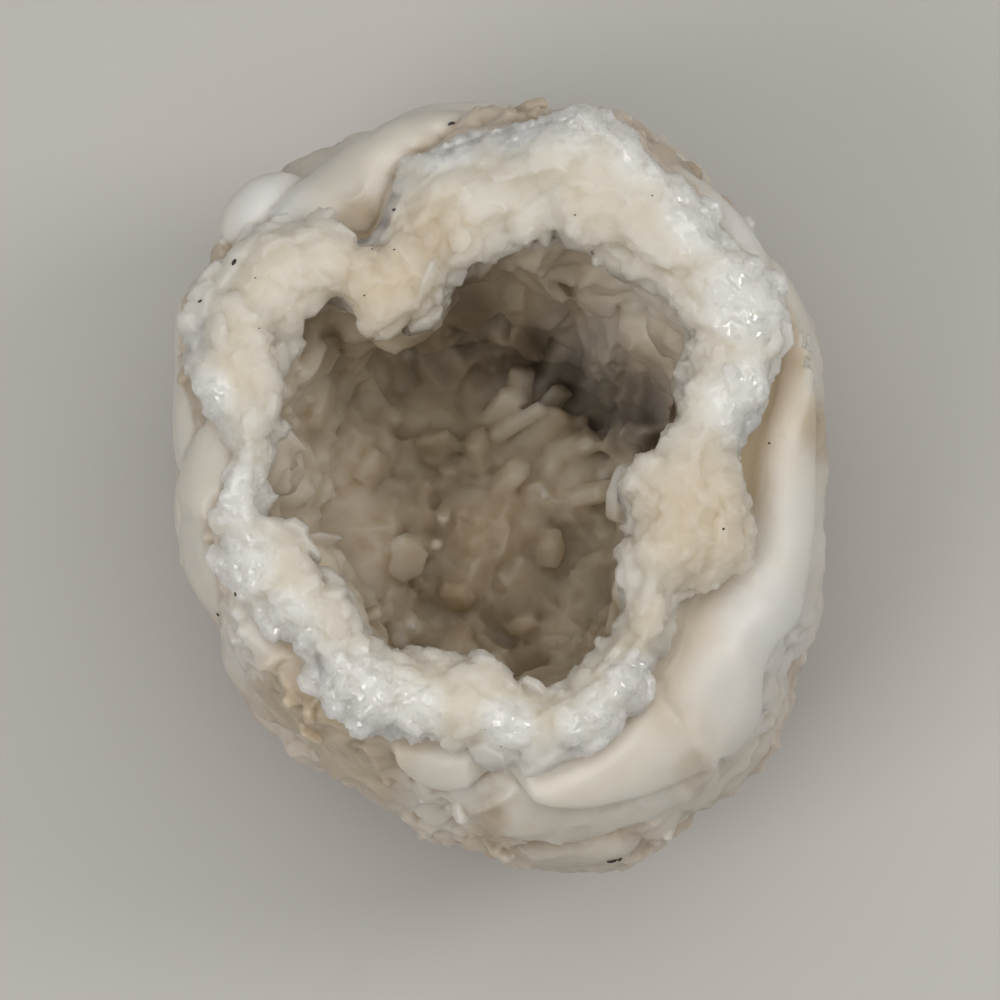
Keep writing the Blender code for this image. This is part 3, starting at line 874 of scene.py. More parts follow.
    # From angle, to angle, width down the wall, strength
    grooves: tuple[tuple[float, ...], ...] = (
        (-14.0, 30.0, 6.0, 1.0), (26.0, 48.0, 3.0, 0.4), (-60.0, -16.0, 6.0, 0.5), (108.0, 124.0, 3.0, 0.8),
        (218.0, 262.0, 7.0, 0.4),
    )
    cool: tuple[Patch, ...] = (
        Patch(-25.0, 32.5, 5.5, 1.0), Patch(-4.2, -35.8, 5.5, 0.4), Patch(31.0, 29.5, 4.0, 0.9),
        Patch(33.0, -16.0, 7.0, 0.8), Patch(37.0, -6.0, 6.0, 0.5), Patch(29.0, -24.0, 6.0, 0.6),
        Patch(-27.2, -18.5, 4.5, 0.6),
    )

    def lower_lobes(self) -> list[tuple[float, ...]]:
        """Lobes on the lower wall, in rows that overlap like drapery, as in the solids."""
        chance = random.Random(11)
        found = []
        for drop, count in zip(self.lower_drops, self.lower_counts):
            for place in range(count):
                angle = 360.0 * (place + chance.uniform(-0.3, 0.3)) / count + drop
                width = chance.uniform(10.0, 15.0) * (1.0 - drop / 150.0)
                height = chance.uniform(6.5, 9.0)
                lean = chance.uniform(-0.35, 0.35)
                found.append((angle, drop + chance.uniform(-3, 3), width, height, self.lower_rise, lean))
        return found

    def lobe_rise(self, points: np.ndarray, angle: np.ndarray, drop: np.ndarray) -> np.ndarray:
        """How far the lobes stand out of the wall at each point."""
        wander = 1.8 * ripple(points, 14.0, 2)
        reach = np.hypot(points[:, 0], points[:, 1])
        rise = np.zeros(len(points))
        for place, level, half_width, half_height, height, lean in [*self.lobes, *self.lower_lobes()]:
            across = np.radians((angle - place + 180) % 360 - 180) * reach
            down = drop + wander - level - lean * across
            away = (across / half_width) ** 2 + (down / half_height) ** 2
            rise = np.maximum(rise, height * np.clip(1 - away, 0, 1) ** 0.6)
        return rise

    def spread_rows(self, along: np.ndarray) -> np.ndarray:
        """Gives the outer wall more of the rows than the hidden inside has."""
        wall = self.form.shell_rim_top
        return np.where(
            along < self.wall_rows,
            along / self.wall_rows * wall,
            wall + (along - self.wall_rows) / (1 - self.wall_rows) * (1 - wall),
        )

    def plates(self, points: np.ndarray) -> np.ndarray:
        """Small plates that overlap downward like shingles, each with a ragged lower edge."""
        bent = points + 1.3 * ripple(points + 5.0, 5.0, 2)[:, None] + 0.4 * ripple(points + 15.0, 1.8, 2)[:, None]
        downward = np.hypot(points[:, 0], points[:, 1]) - points[:, 2]
        found = np.zeros(len(points))
        for size, height in ((8.0, 1.6), (3.4, 1.1)):
            seeds = nearest_seeds(bent + 13.0 * size, size)[1] - 13.0 * size
            from_seed = downward - np.hypot(seeds[:, 0], seeds[:, 1]) + seeds[:, 2]
            found += height * (np.clip(0.5 + 0.8 * from_seed / size, 0, 1) + 0.7 * scatter(seeds, size) - 0.85)
        return found

    def shape(self, angle: np.ndarray, along: np.ndarray) -> tuple[np.ndarray, Marks]:
        """Places and marks of the skin's points."""
        form = self.form
        along = self.spread_rows(along)
        base = form.shell(angle, along)
        drop = self.wall_length * (form.shell_foot - along) / (form.shell_foot - form.shell_base_edge)
        above_flat = smooth_step(along, 0.09, 0.15)
        below_ring = 1 - smooth_step(along, form.shell_foot - 0.014, form.shell_foot + 0.004)
        wander = 0.7 * ripple(base, 12.0, 2)
        reliefs = [fold.relief(angle, drop + wander) for fold in self.folds]
        # crease: the painted shadow under each fold's lip, which also stands for an iron stain
        folds, on_fold, crease = (np.max([relief[part] for relief in reliefs], axis=0) for part in (0, 1, 3))
        crease = crease * (folds < 1.5)
        lip = np.sum([relief[2] for relief in reliefs], axis=0) * above_flat * below_ring
        lobes = self.lobe_rise(base, angle, drop)
        on_lobe = smooth_step(lobes, 0.2, 1.4) * (1 - 0.75 * smooth_step(drop, 16.0, 30.0))
        smooth = np.maximum(on_fold, 0.92 * on_lobe)
        rise = np.maximum(lobes, folds) - self.setback + 0.8 * ripple(base, 16.0)
        rise += (1 - smooth) * (self.plates(base) + 0.25 * ripple(base + 70.0, 2.6, 3))
        hung = along - lip * (form.shell_foot - form.shell_base_edge) / self.wall_length
        places = form.shell(angle, hung) + facing(form.shell, angle, hung) * (rise * above_flat * below_ring)[:, None]
        places[:, 2] = np.maximum(places[:, 2], 0.0)
        for axis, (least, most) in enumerate(self.reach):
            places[:, axis] = eased(places[:, axis], most)
            places[:, axis] = -eased(-places[:, axis], -least)
        marks = {
            "smooth": smooth,
            # warm: tan patches and grooves, and the painted shadow under the folds' lips
            "warm": np.maximum.reduce(
                [patches_at(self.warm, places, 32.0), self.groove_at(angle, drop), 0.8 * crease]
            ),
            "cool": patches_at(self.cool, places, 32.0),
            "shown": np.asarray((smooth < 0.3) & (along > 0.13) & (along < 0.565), float),
        }
        return places, marks

    def groove_at(self, angle: np.ndarray, drop: np.ndarray) -> np.ndarray:
        """How far inside one of the tan grooves beside the rim each place lies."""
        found = np.zeros(len(angle))
        for first, last, width, strength in self.grooves:
            turned = (angle - first) % 360
            along = smooth_step(turned, 0, 8) * (1 - smooth_step(turned, last - first - 8, last - first))
            found = np.maximum(found, strength * along * (1 - smooth_step(drop, 0.3 * width, width)))
        return found

    def roughness_at(self, places: np.ndarray, upward: np.ndarray) -> np.ndarray:
        """How thickly crystals stand on the skin: in patches, and hardly in the groove beside the band."""
        patches = smooth_step(ripple(places + 20.0, 12.0, 2), -0.3, 0.3)
        beside_band = (places[:, 0] > 15.0) & (places[:, 1] < 22.0) & (places[:, 2] > 42.0)
        return (0.2 + 0.8 * patches) * np.where(beside_band, 0.1, 1.0)

    def build(self) -> bpy.types.Object:
        """Makes the skin, which stands for the shell's solid, with the small crystals of its rough parts."""
        piece = wrapped_sphere("shell_skin", self.columns, self.rows, self.shape)
        chance = np.random.default_rng(31)
        grown = []
        for number, kind in enumerate(self.points):
            places, upward = spots_on(piece, kind, self.roughness_at, chance)
            sizes = 1.0 + 0.35 * ripple(places + 50.0, 9.0, 2)
            grown.append(quartz_points(f"skin_points_{number}", places, upward, kind, sizes, chance))
        places = points_of(piece.data)
        marks = {}
        for name in ("smooth", "warm", "cool"):
            marks[name] = np.empty(len(places), np.float32)
            piece.data.attributes[name].data.foreach_get("value", marks[name])
        fuse(piece, grown, self.cell, self.most_triangles, 1)
        settled = points_of(piece.data)
        settled[:, 2] = np.maximum(settled[:, 2], 0.0)
        piece.data.vertices.foreach_set("co", settled.ravel())
        for attribute in list(piece.data.attributes):
            if attribute.name in (*marks, "shown"):
                piece.data.attributes.remove(attribute)
        carry_marks(piece.data, places, marks)
        # recess darkens the creases toward tan, as painted shade
        write_marks(piece.data, {"recess": recess_of(piece.data, 8, 0.5)})
        return piece


@dataclass
class QuartzCrust:
    """The sugary quartz: one crust over the broken rim and down the hollow, as knobs built of small grains."""

    form: NoduleForm
    rim_columns: int = 760
    rim_rows: int = 104
    lining_columns: int = 380
    lining_rows: int = 150
    rim_cell: float = 0.21
    lining_cell: float = 0.36
    most_triangles: int = 197000
    rim_points: tuple[PointKind, ...] = (
        PointKind(420, 2.2, (1.1, 2.3), (0.2, 0.7), 26.0, tip=0.35, worn=0.5),
        PointKind(3600, 0.7, (0.35, 0.9), (0.12, 0.5), 40.0, root=0.7, worn=0.7),
    )
    hollow_points: tuple[PointKind, ...] = (
        PointKind(90, 4.8, (2.6, 5.0), (0.0, 0.5), 26.0, root=1.8, tip=0.3, flatness=0.5),
    )
    # Longer crystals that lie on the rim
    rim_crystals: tuple[Crystal, ...] = (
        Crystal(12.2, 40.2, -45.0, 1.2, 2.6, 78.0), Crystal(14.6, 38.0, -40.0, 1.0, 2.2, 76.0),
        Crystal(9.5, 41.0, 20.0, 1.0, 1.8, 65.0), Crystal(30.9, 22.6, 60.0, 1.4, 1.6, 50.0),
        Crystal(-15.5, -25.0, 100.0, 1.1, 1.8, 60.0), Crystal(-13.0, -27.5, 40.0, 0.9, 1.8, 65.0),
        Crystal(28.5, 9.5, 110.0, 1.0, 2.4, 70.0), Crystal(26.8, 12.0, 80.0, 0.9, 2.0, 68.0),
        Crystal(-28.5, -6.0, 200.0, 0.9, 1.5, 60.0), Crystal(13.2, -29.3, 20.0, 1.1, 1.6, 55.0),
    )
    # The large blades on the floor, as in the solids, and the smaller ones about them
    blades: tuple[Crystal, ...] = (
        Crystal(6.0, 10.5, 35.0, 2.4, 6.5, 56.0), Crystal(10.0, 9.0, 20.0, 2.0, 5.5, 60.0),
        Crystal(1.5, 12.5, 50.0, 2.4, 6.0, 54.0), Crystal(12.5, 3.5, 10.0, 2.4, 4.5, 54.0),
        Crystal(-9.0, -4.0, 100.0, 2.4, 2.6, 20.0), Crystal(3.0, 5.0, 40.0, 2.6, 4.0, 48.0),
        Crystal(1.5, 10.5, 28.0, 1.4, 8.0, 68.0), Crystal(7.5, 14.0, 45.0, 1.8, 5.0, 54.0),
        Crystal(4.5, 16.0, 80.0, 1.9, 4.5, 48.0), Crystal(8.5, 11.5, 15.0, 1.2, 5.5, 64.0),
        Crystal(13.0, 9.5, 40.0, 1.2, 3.6, 58.0), Crystal(0.0, 8.0, 110.0, 2.4, 4.0, 45.0),
        Crystal(15.5, 6.5, 50.0, 1.2, 3.0, 52.0), Crystal(-5.0, 9.0, 140.0, 2.8, 3.2, 40.0),
        Crystal(-3.0, -9.0, 280.0, 2.6, 2.6, 30.0), Crystal(8.0, -3.0, 340.0, 2.8, 2.8, 35.0),
        Crystal(-13.0, 6.0, 160.0, 2.6, 2.8, 35.0), Crystal(5.0, -12.0, 250.0, 2.2, 2.6, 30.0),
    )
    # Small crystals in the hollow, coloured pale as painted glints
    pale_crystals: tuple[Crystal, ...] = (
        Crystal(-21.5, 18.8, 0.0, 0.42, 0.4, 30.0), Crystal(-20.6, 13.0, 300.0, 0.5, 0.5, 30.0),
        Crystal(-22.5, 10.2, 320.0, 0.65, 0.5, 30.0), Crystal(-11.1, -3.7, 60.0, 0.95, 0.7, 30.0),
        Crystal(-9.9, -3.0, 30.0, 0.6, 0.5, 35.0), Crystal(-4.7, 0.4, 45.0, 0.5, 0.5, 30.0),
        Crystal(-5.5, -2.9, 60.0, 0.5, 0.6, 40.0), Crystal(12.8, 9.7, 20.0, 0.7, 0.8, 40.0),
        Crystal(17.1, 10.6, 60.0, 0.5, 0.5, 30.0), Crystal(14.9, 6.2, 40.0, 0.6, 0.6, 30.0),
        Crystal(7.9, 3.1, 40.0, 0.7, 0.6, 30.0), Crystal(-10.0, -14.3, 70.0, 1.3, 0.8, 15.0),
        Crystal(-8.4, -13.2, 20.0, 1.0, 0.8, 15.0), Crystal(-9.0, 20.5, 0.0, 0.4, 0.4, 30.0),
    )
    # Painted shadow: patches of the hollow painted nearly black in the trench and under the lip, and darkened more
    # weakly in the middle and on the right
    dark: tuple[Patch, ...] = (
        Patch(-1.3, 22.8, 4.2, 0.6), Patch(5.8, 20.2, 3.4, 0.8), Patch(21.5, 8.5, 2.6, 0.9), Patch(13.0, 12.0, 2.4, 0.6),
        Patch(2.0, 21.0, 5.0, 0.5), Patch(10.5, 18.0, 3.0, 0.7), Patch(17.5, 14.0, 5.0, 0.55),
        Patch(-6.0, 21.0, 5.5, 0.4), Patch(-3.5, 8.0, 6.0, 0.25), Patch(13.0, -5.0, 7.0, 0.18),
    )
    hollow_cool: tuple[Patch, ...] = (
        Patch(13.5, 19.0, 5.0, 0.7), Patch(19.0, 12.5, 5.0, 0.8), Patch(9.0, 23.0, 3.5, 0.4),
    )
    # Painted light: patches of the hollow's walls and floor made paler where light falls on them
    pale: tuple[Patch, ...] = (
        Patch(19.5, 24.0, 7.0, 1.0), Patch(24.0, 17.0, 4.0, 0.6),
        Patch(-21.5, 14.0, 4.5, 0.5), Patch(-15.0, -5.0, 6.0, 0.7), Patch(9.0, 4.5, 5.0, 0.35),
        Patch(-19.0, 2.0, 7.0, 0.75),
        Patch(5.5, 15.5, 4.0, 0.5),
    )
    # The stretches of the rim that glitter with small sharp crystals, and the smooth milky ones
    glitter: tuple[Patch, ...] = (
        Patch(-4.0, 38.5, 5.0), Patch(4.5, 41.5, 6.0), Patch(12.0, 41.5, 7.0), Patch(19.0, 37.0, 6.0),
        Patch(26.0, 29.0, 7.0), Patch(30.5, 19.0, 7.0), Patch(30.0, 7.5, 6.0), Patch(-14.0, -26.0, 7.5),
        Patch(-8.0, -27.5, 5.0), Patch(13.0, -29.5, 5.0), Patch(17.0, -24.0, 4.0), Patch(-27.0, -3.0, 5.0),
        Patch(-27.0, -11.0, 5.0), Patch(-22.0, -18.0, 5.0), Patch(-31.0, 8.0, 4.0), Patch(3.0, -29.0, 4.0),
    )
    calm: tuple[Patch, ...] = (
        Patch(-22.8, 25.0, 7.5), Patch(-17.4, 28.2, 4.5), Patch(-11.0, 21.6, 6.0), Patch(-7.2, 29.0, 5.5),
        Patch(0.0, 33.5, 5.0), Patch(7.2, 33.6, 6.0), Patch(14.4, 31.5, 6.0), Patch(19.5, 29.0, 5.0),
        Patch(21.0, -20.4, 7.0), Patch(25.2, -15.6, 4.0), Patch(-6.0, -26.4, 4.0), Patch(2.4, -26.0, 5.0),
        Patch(8.0, -30.0, 4.0), Patch(-31.8, 15.6, 5.0, 0.6), Patch(26.0, -4.0, 8.0, 0.5),
    )
    warm: tuple[Patch, ...] = (
        Patch(-11.0, 21.6, 6.0), Patch(-6.5, 27.5, 5.0), Patch(25.2, -6.0, 9.0, 0.9), Patch(21.0, -20.4, 7.0, 0.8),
        Patch(31.5, 23.0, 2.5, 0.9), Patch(-29.0, 10.0, 4.0, 0.6), Patch(24.0, -13.0, 4.0, 0.8),
    )
    cool: tuple[Patch, ...] = (
        Patch(7.0, 34.5, 7.0), Patch(0.0, 35.0, 6.0, 0.8), Patch(15.0, 33.0, 6.0, 0.8), Patch(-32.0, 16.0, 5.0, 0.8),
        Patch(-15.0, -26.5, 6.0, 0.9), Patch(27.0, 27.5, 6.0, 0.8), Patch(28.5, 9.0, 5.0, 0.6),
        Patch(-26.0, -14.0, 6.0, 0.5), Patch(6.0, -32.0, 6.0, 0.5),
    )
    scale_size: float = 6.0
    scale_rise: float = 1.0
    # X, Y, half width, rise
    rim_lobes: tuple[tuple[float, ...], ...] = (
        (-9.6, 21.6, 5.5, 1.6), (-1.8, 29.4, 5.5, 1.4), (-21.6, 25.2, 7.0, 1.4), (-31.8, 20.4, 6.0, 1.0),
        (-29.5, 12.0, 6.5, 1.3), (25.2, -6.0, 8.0, 2.0), (31.2, 20.4, 7.5, 1.2), (27.5, 8.4, 6.0, 1.0),
        (14.4, -27.6, 6.0, 1.6), (-1.2, -27.0, 7.5, 1.2), (-15.6, -26.4, 5.5, 1.4), (-24.0, -15.6, 6.5, 1.2),
        (13.2, 36.0, 7.5, 1.2), (-25.0, -1.0, 4.0, 0.8), (22.0, 29.0, 6.5, 0.9),
        (-11.2, -21.4, 2.4, 0.9), (-7.2, -23.6, 2.5, 1.0), (-3.0, -24.6, 2.4, 0.9), (1.2, -24.4, 2.3, 0.9),
        (5.2, -25.6, 2.4, 1.0), (9.2, -26.2, 2.3, 0.8), (19.6, -1.0, 2.6, 0.9), (20.4, -10.2, 2.6, 0.9),
        (24.0, 2.0, 3.0, 0.8), (29.4, -8.6, 3.0, 0.9),
    )
    # X, Y, radius, rise of scales whose edge stands over the hollow
    petals: tuple[tuple[float, ...], ...] = (
        (-11.4, 24.2, 6.2, 1.1), (-5.4, 27.0, 5.4, 1.0), (-15.6, 27.6, 4.8, 0.8), (-20.4, 26.6, 6.0, 0.9),
        (-26.6, 22.4, 6.4, 0.8), (-29.0, 14.8, 6.0, 0.8), (-28.6, 7.6, 5.0, 0.8), (1.4, 30.4, 5.6, 0.9),
        (8.4, 33.2, 6.4, 0.9), (15.6, 30.6, 6.2, 0.9), (21.2, 27.6, 5.4, 0.8), (26.2, 21.4, 5.6, 0.9),
        (25.8, 13.0, 5.2, 0.9), (-26.0, -4.4, 4.4, 0.7), (-23.0, -12.0, 5.6, 0.8), (-17.6, -20.4, 5.8, 0.8),
    )
    # X, Y, half width, depth
    rim_notches: tuple[tuple[float, ...], ...] = (
        (-13.8, 29.2, 2.6, 2.4), (33.0, 2.5, 3.2, 1.4), (-16.5, 15.5, 3.0, 1.2),
    )
    knob_size: float = 5.2
    knob_rise: float = 1.05
    rim_deepest: float = -1.3
    lump_size: float = 10.0
    lump_rise: float = 4.0
    hollow_knob_size: float = 5.4
    hollow_knob_rise: float = 0.9
    seam_along: float = 0.60
    # Width, step and tilt of the broken faces on the rim, and of those in the hollow
    rim_faces: tuple[tuple[float, float, float], ...] = ((4.2, 0.40, 7.0), (1.9, 0.16, 8.0))
    glitter_faces: tuple[float, float, float] = (1.1, 0.06, 12.0)
    lip_faces: tuple[tuple[float, float, float], ...] = ((3.0, 0.55, 16.0), (1.3, 0.28, 20.0))
    hollow_faces: tuple[tuple[float, float, float], ...] = ((9.0, 0.9, 12.0), (4.0, 0.45, 13.0), (2.0, 0.25, 14.0))
    # Where the rim's section turns down, on its outer and its inner side
    lips: tuple[tuple[float, float, float], ...] = ((0.39, 0.016, 0.8), (0.585, 0.02, 1.0))
    # Share of the rim's section, and of the lining's rows, that is seen or hidden
    rim_shown: float = 0.86
    rim_thickness: float = 4.2
    lining_hidden: float = 0.10
    lining_top: float = 0.66

    def rim_relief(self, points: np.ndarray) -> np.ndarray:
        """Broad lobes of the rim, scales that overlap toward the hollow, and notches in the edge."""
        found = np.zeros(len(points))
        for x, y, half_width, height in self.rim_lobes:
            away = ((points[:, 0] - x) ** 2 + (points[:, 1] - y) ** 2) / half_width**2
            found = np.maximum(found, height * np.clip(1 - away, 0, 1) ** 0.5)
        for x, y, half_width, depth in self.rim_notches:
            away = ((points[:, 0] - x) ** 2 + (points[:, 1] - y) ** 2) / half_width**2
            found -= depth * np.exp(-away)
        for x, y, radius, height in self.petals:
            across, along = (points[:, 0] - x) / radius, (points[:, 1] - y) / radius
            inward = -(across * x + along * y) / math.hypot(x, y)
            edge = smooth_step(1.0 - np.hypot(across, along), 0.0, 0.08)
            found += height * edge * np.clip(0.35 + 0.65 * inward, 0, 1)
        return found

    def scales(self, points: np.ndarray, bent: np.ndarray) -> np.ndarray:
        """Rounded scales that overlap toward the hollow, each with a sharp edge on that side."""
        reach = np.hypot(points[:, 0], points[:, 1])
        distances, seeds = nearest_seeds(bent + 200.0, self.scale_size)
        seeds = seeds - 200.0
        inward = (np.hypot(seeds[:, 0], seeds[:, 1]) - reach) / self.scale_size
        worn = 1.0 - 0.6 * (distances / 0.75) ** 2
        return self.scale_rise * (np.clip(0.5 + 0.7 * inward, 0, 1) + 0.5 * scatter(seeds, 3.0) - 0.75 + 0.3 * worn)

    def floor_relief(self, points: np.ndarray) -> np.ndarray:
        """The mound left of the middle of the hollow's floor, and the trench round its right side."""
        x, y = points[:, 0], points[:, 1]
        mound = np.exp(-((x + 3.0) ** 2 + (y - 0.5) ** 2) / (2 * 10.0**2))
        reach, angle = np.hypot(x, y), np.degrees(np.arctan2(y, x))
        trench = np.exp(-((reach - 18.5) ** 2) / (2 * 3.5**2)) * np.exp(-((angle - 60) ** 2) / (2 * 36.0**2))
        return 7.5 * mound - 2.2 * trench

    def shape(self, angle: np.ndarray, along: np.ndarray) -> np.ndarray:
        """Places of the crust's points, before its small crystals."""
        form = self.form
        base = form.crust(angle, along)
        seen = smooth_step(along, form.crust_edge + 0.002, form.crust_edge + 0.03)
        inside = smooth_step(along, 0.58, 0.68)
        bent = base + 1.4 * ripple(base, 6.0)[:, None]
        broad = domes(bent, self.knob_size) - 0.6
        calm = patches_at(self.calm, base, 45.0)
        knobs = self.knob_rise * (1 - 0.55 * calm) * broad + self.scales(base, bent)
        shifted = base + 0.8 * ripple(base + 110.0, 4.0, 3)[:, None]
        rim = np.maximum(knobs + self.rim_relief(shifted) - 0.5, self.rim_deepest)
        lumps = domes(bent + 31.0, self.lump_size) - 0.5
        small = domes(bent, self.hollow_knob_size) - 0.6
        hollow = self.lump_rise * lumps + self.hollow_knob_rise * small
        rise = rim * (1 - inside) + np.maximum(hollow, form.crust_thinnest - form.crust_thickness) * inside
        rise += self.faces_at(base, calm, inside)
        lip = sum(strength * np.exp(-(((along - middle) / width) ** 2)) for middle, width, strength in self.lips)
        rise += lip * sum(broken_faces(bent + 90.0 * size, size, step, tilt) for size, step, tilt in self.lip_faces)
        places = base + facing(form.crust, angle, along) * (rise * seen)[:, None]
        places[:, 2] += self.floor_relief(base) * smooth_step(along, 0.80, 0.93)
        places[:, 2] = eased(places[:, 2], 65.7)
        return places

    def faces_at(self, base: np.ndarray, calm: np.ndarray, inside: np.ndarray) -> np.ndarray:
        """The broken faces of the quartz: small and sharp where it glitters, broad and low where it is calm."""
        bent = base + 0.7 * ripple(base + 40.0, 3.2, 2)[:, None] + 300.0
        on_rim = sum(broken_faces(bent + 60.0 * size, size, step, tilt) for size, step, tilt in self.rim_faces)
        in_hollow = sum(broken_faces(bent + 60.0 * size, size, step, tilt) for size, step, tilt in self.hollow_faces)
        sharp = patches_at(self.glitter, base, 45.0) * broken_faces(bent + 500.0, *self.glitter_faces)
        return ((1 - 0.45 * calm) * on_rim + sharp) * (1 - inside) + in_hollow * inside

    def rim_shape(self, angle: np.ndarray, along: np.ndarray) -> tuple[np.ndarray, Marks]:
        """The rim: over the broken edge from outside to inside, and back along its own hidden underside."""
        start, stop = self.form.crust_edge + 0.001, self.seam_along + 0.02
        shown = along < self.rim_shown
        back = (along - self.rim_shown) / (1 - self.rim_shown)
        where = np.where(shown, start + along / self.rim_shown * (stop - start), stop - back * (stop - start))
        places = self.shape(angle, where)
        base, normals = self.form.crust(angle, where), facing(self.form.crust, angle, where)
        places -= normals * (1.6 * smooth_step(where, stop - 0.022, stop))[:, None]
        buried = self.rim_thickness * np.sin(np.clip(back, 0, 1) * math.pi) ** 0.5
        places = np.where(shown[:, None], places, base - normals * buried[:, None])
        return places, {"shown": np.asarray(shown & (where > start + 0.01) & (where < stop - 0.024), float)}

    def lining_shape(self, angle: np.ndarray, along: np.ndarray) -> tuple[np.ndarray, Marks]:
        """The lining of the hollow: up its hidden side from under the floor, and down its seen side."""
        form = self.form
        shown = along > self.lining_hidden
        where = np.clip((along - self.lining_hidden) / (1 - self.lining_hidden), 0, 1)
        places = self.shape(angle, self.seam_along + where * (1 - self.seam_along))
        behind = 1.0 - (1.0 - self.lining_top) * np.clip(along / self.lining_hidden, 0, 1)
        hidden = form.shell(angle, behind) + 0.3 * form.gap * facing(form.shell, angle, behind)
        places = np.where(shown[:, None], places, hidden)
        return places, {"shown": np.asarray(shown & (where > 0.02), float)}

    def small_crystals_at(self, places: np.ndarray, upward: np.ndarray) -> np.ndarray:
        """How thickly small crystals stand: on the flanks and where the rim glitters, with bare quartz between."""
        flank = 1.0 - smooth_step(upward, 0.3, 0.8)
        deep = 0.5 * (places[:, 2] < 50.0)
        calm = patches_at(self.calm, places, 45.0)
        glitter = 0.2 * patches_at(self.glitter, places, 45.0)
        return np.clip((0.03 + 0.9 * flank) * (1 - 0.5 * calm) + deep + glitter, 0, 1)

    def large_crystals_at(self, places: np.ndarray, upward: np.ndarray) -> np.ndarray:
        """How thickly large crystals stand: everywhere but on the smooth stretches."""
        return 1.0 - 0.6 * patches_at(self.calm, places, 45.0) * smooth_step(upward, 0.3, 0.8)

    def grow(self, base: bpy.types.Object, kinds: Sequence[PointKind], seed: int) -> list[bpy.types.Object]:
        """Crystals of each kind on a piece, larger and smaller in patches."""
        chance = np.random.default_rng(seed)
        grown = []
        for number, kind in enumerate(kinds):
            wanted = self.large_crystals_at if number == 0 else self.small_crystals_at
            places, upward = spots_on(base, kind, wanted, chance)
            sizes = 1.0 + 0.35 * ripple(places + 50.0, 7.0, 2)
            grown.append(quartz_points(f"{base.name}_points_{number}", places, upward, kind, sizes, chance))
        return grown

    def finish(
        self,
        piece: bpy.types.Object,
        kinds: Sequence[PointKind],
        seed: int,
        cell: float,
        rounds: int,
        others: Sequence[bpy.types.Object],
    ) -> None:
        """Grows the crystals on a piece, fuses them with it and marks its creases and depths.

        Args:
            piece: the rim or the lining.
            kinds: the kinds of crystal that grow on it.
            seed: for the random numbers.
            cell: the finest detail that is kept, in millimetres.
            rounds: how often its edges are softened.
            others: larger crystals that are fused with it too.
        """
        form = self.form
        fuse(piece, [*self.grow(piece, kinds, seed), *others], cell, self.most_triangles, rounds)
        mesh = piece.data
        places = points_of(mesh)
        depth = np.clip((form.crest_z - 3.0 - places[:, 2]) / (form.crest_z - form.floor_z), 0, 1)
        outer = np.hypot(places[:, 0], places[:, 1])
        depth *= 1 - smooth_step(outer, 29.0, 31.0) * (places[:, 2] > 50.0)
        cells = places + 0.7 * ripple(places + 40.0, 3.2, 2)[:, None] + 300.0
        tint = scatter(nearest_seeds(cells + 252.0, 4.2)[1], 8.0)
        # Painted glints: the small crystals in the hollow are made pale
        sparks = [Patch(crystal.x, crystal.y, crystal.radius + 0.2) for crystal in self.pale_crystals]
        marks = {
            # recess: how deep each point lies, which darkens the creases as painted shade
            "recess": recess_of(mesh, 6, 0.35),
            "tint": tint,
            "depth": depth,
            "warm": patches_at(self.warm, places, 45.0),
            "cool": np.maximum(
                patches_at(self.cool, places, 45.0), patches_at(self.hollow_cool, places, -10.0) * (depth > 0)
            ),
            # dark: painted shadow, only in the hollow
            "dark": patches_at(self.dark, places, -10.0) * (depth > 0),
            # pale: painted light on the hollow, and painted glints on its small crystals
            "pale": patches_at([*self.pale, *sparks], places, -10.0) * (depth > 0),
            # glitter also lightens the colour toward near white, as painted glints
            "glitter": np.maximum(
                patches_at(self.glitter, places, 45.0),
                (1 - patches_at(self.calm, places, 45.0)) * np.where(depth > 0, 0.12, 0.35),
            ),
        }
        write_marks(mesh, marks)

    def build(self) -> dict[str, bpy.types.Object]:
        """Makes the rim and the lining, which stand for the crust's solid together, and the crystals on them."""
        rim = wrapped_ring("quartz_rim", self.rim_columns, self.rim_rows, self.rim_shape)
        long_crystals = placed("long_crystals", self.rim_crystals, rim, 26)
        self.finish(rim, self.rim_points, 21, self.rim_cell, 0, [long_crystals])
        lining = wrapped_sphere("quartz_lining", self.lining_columns, self.lining_rows, self.lining_shape)
        blades = placed("quartz_blades", self.blades, lining, 24)
        pale = placed("pale_crystals", self.pale_crystals, lining, 25)
        self.finish(lining, self.hollow_points, 22, self.lining_cell, 5, [blades, pale])
        return {"rim": rim, "lining": lining}


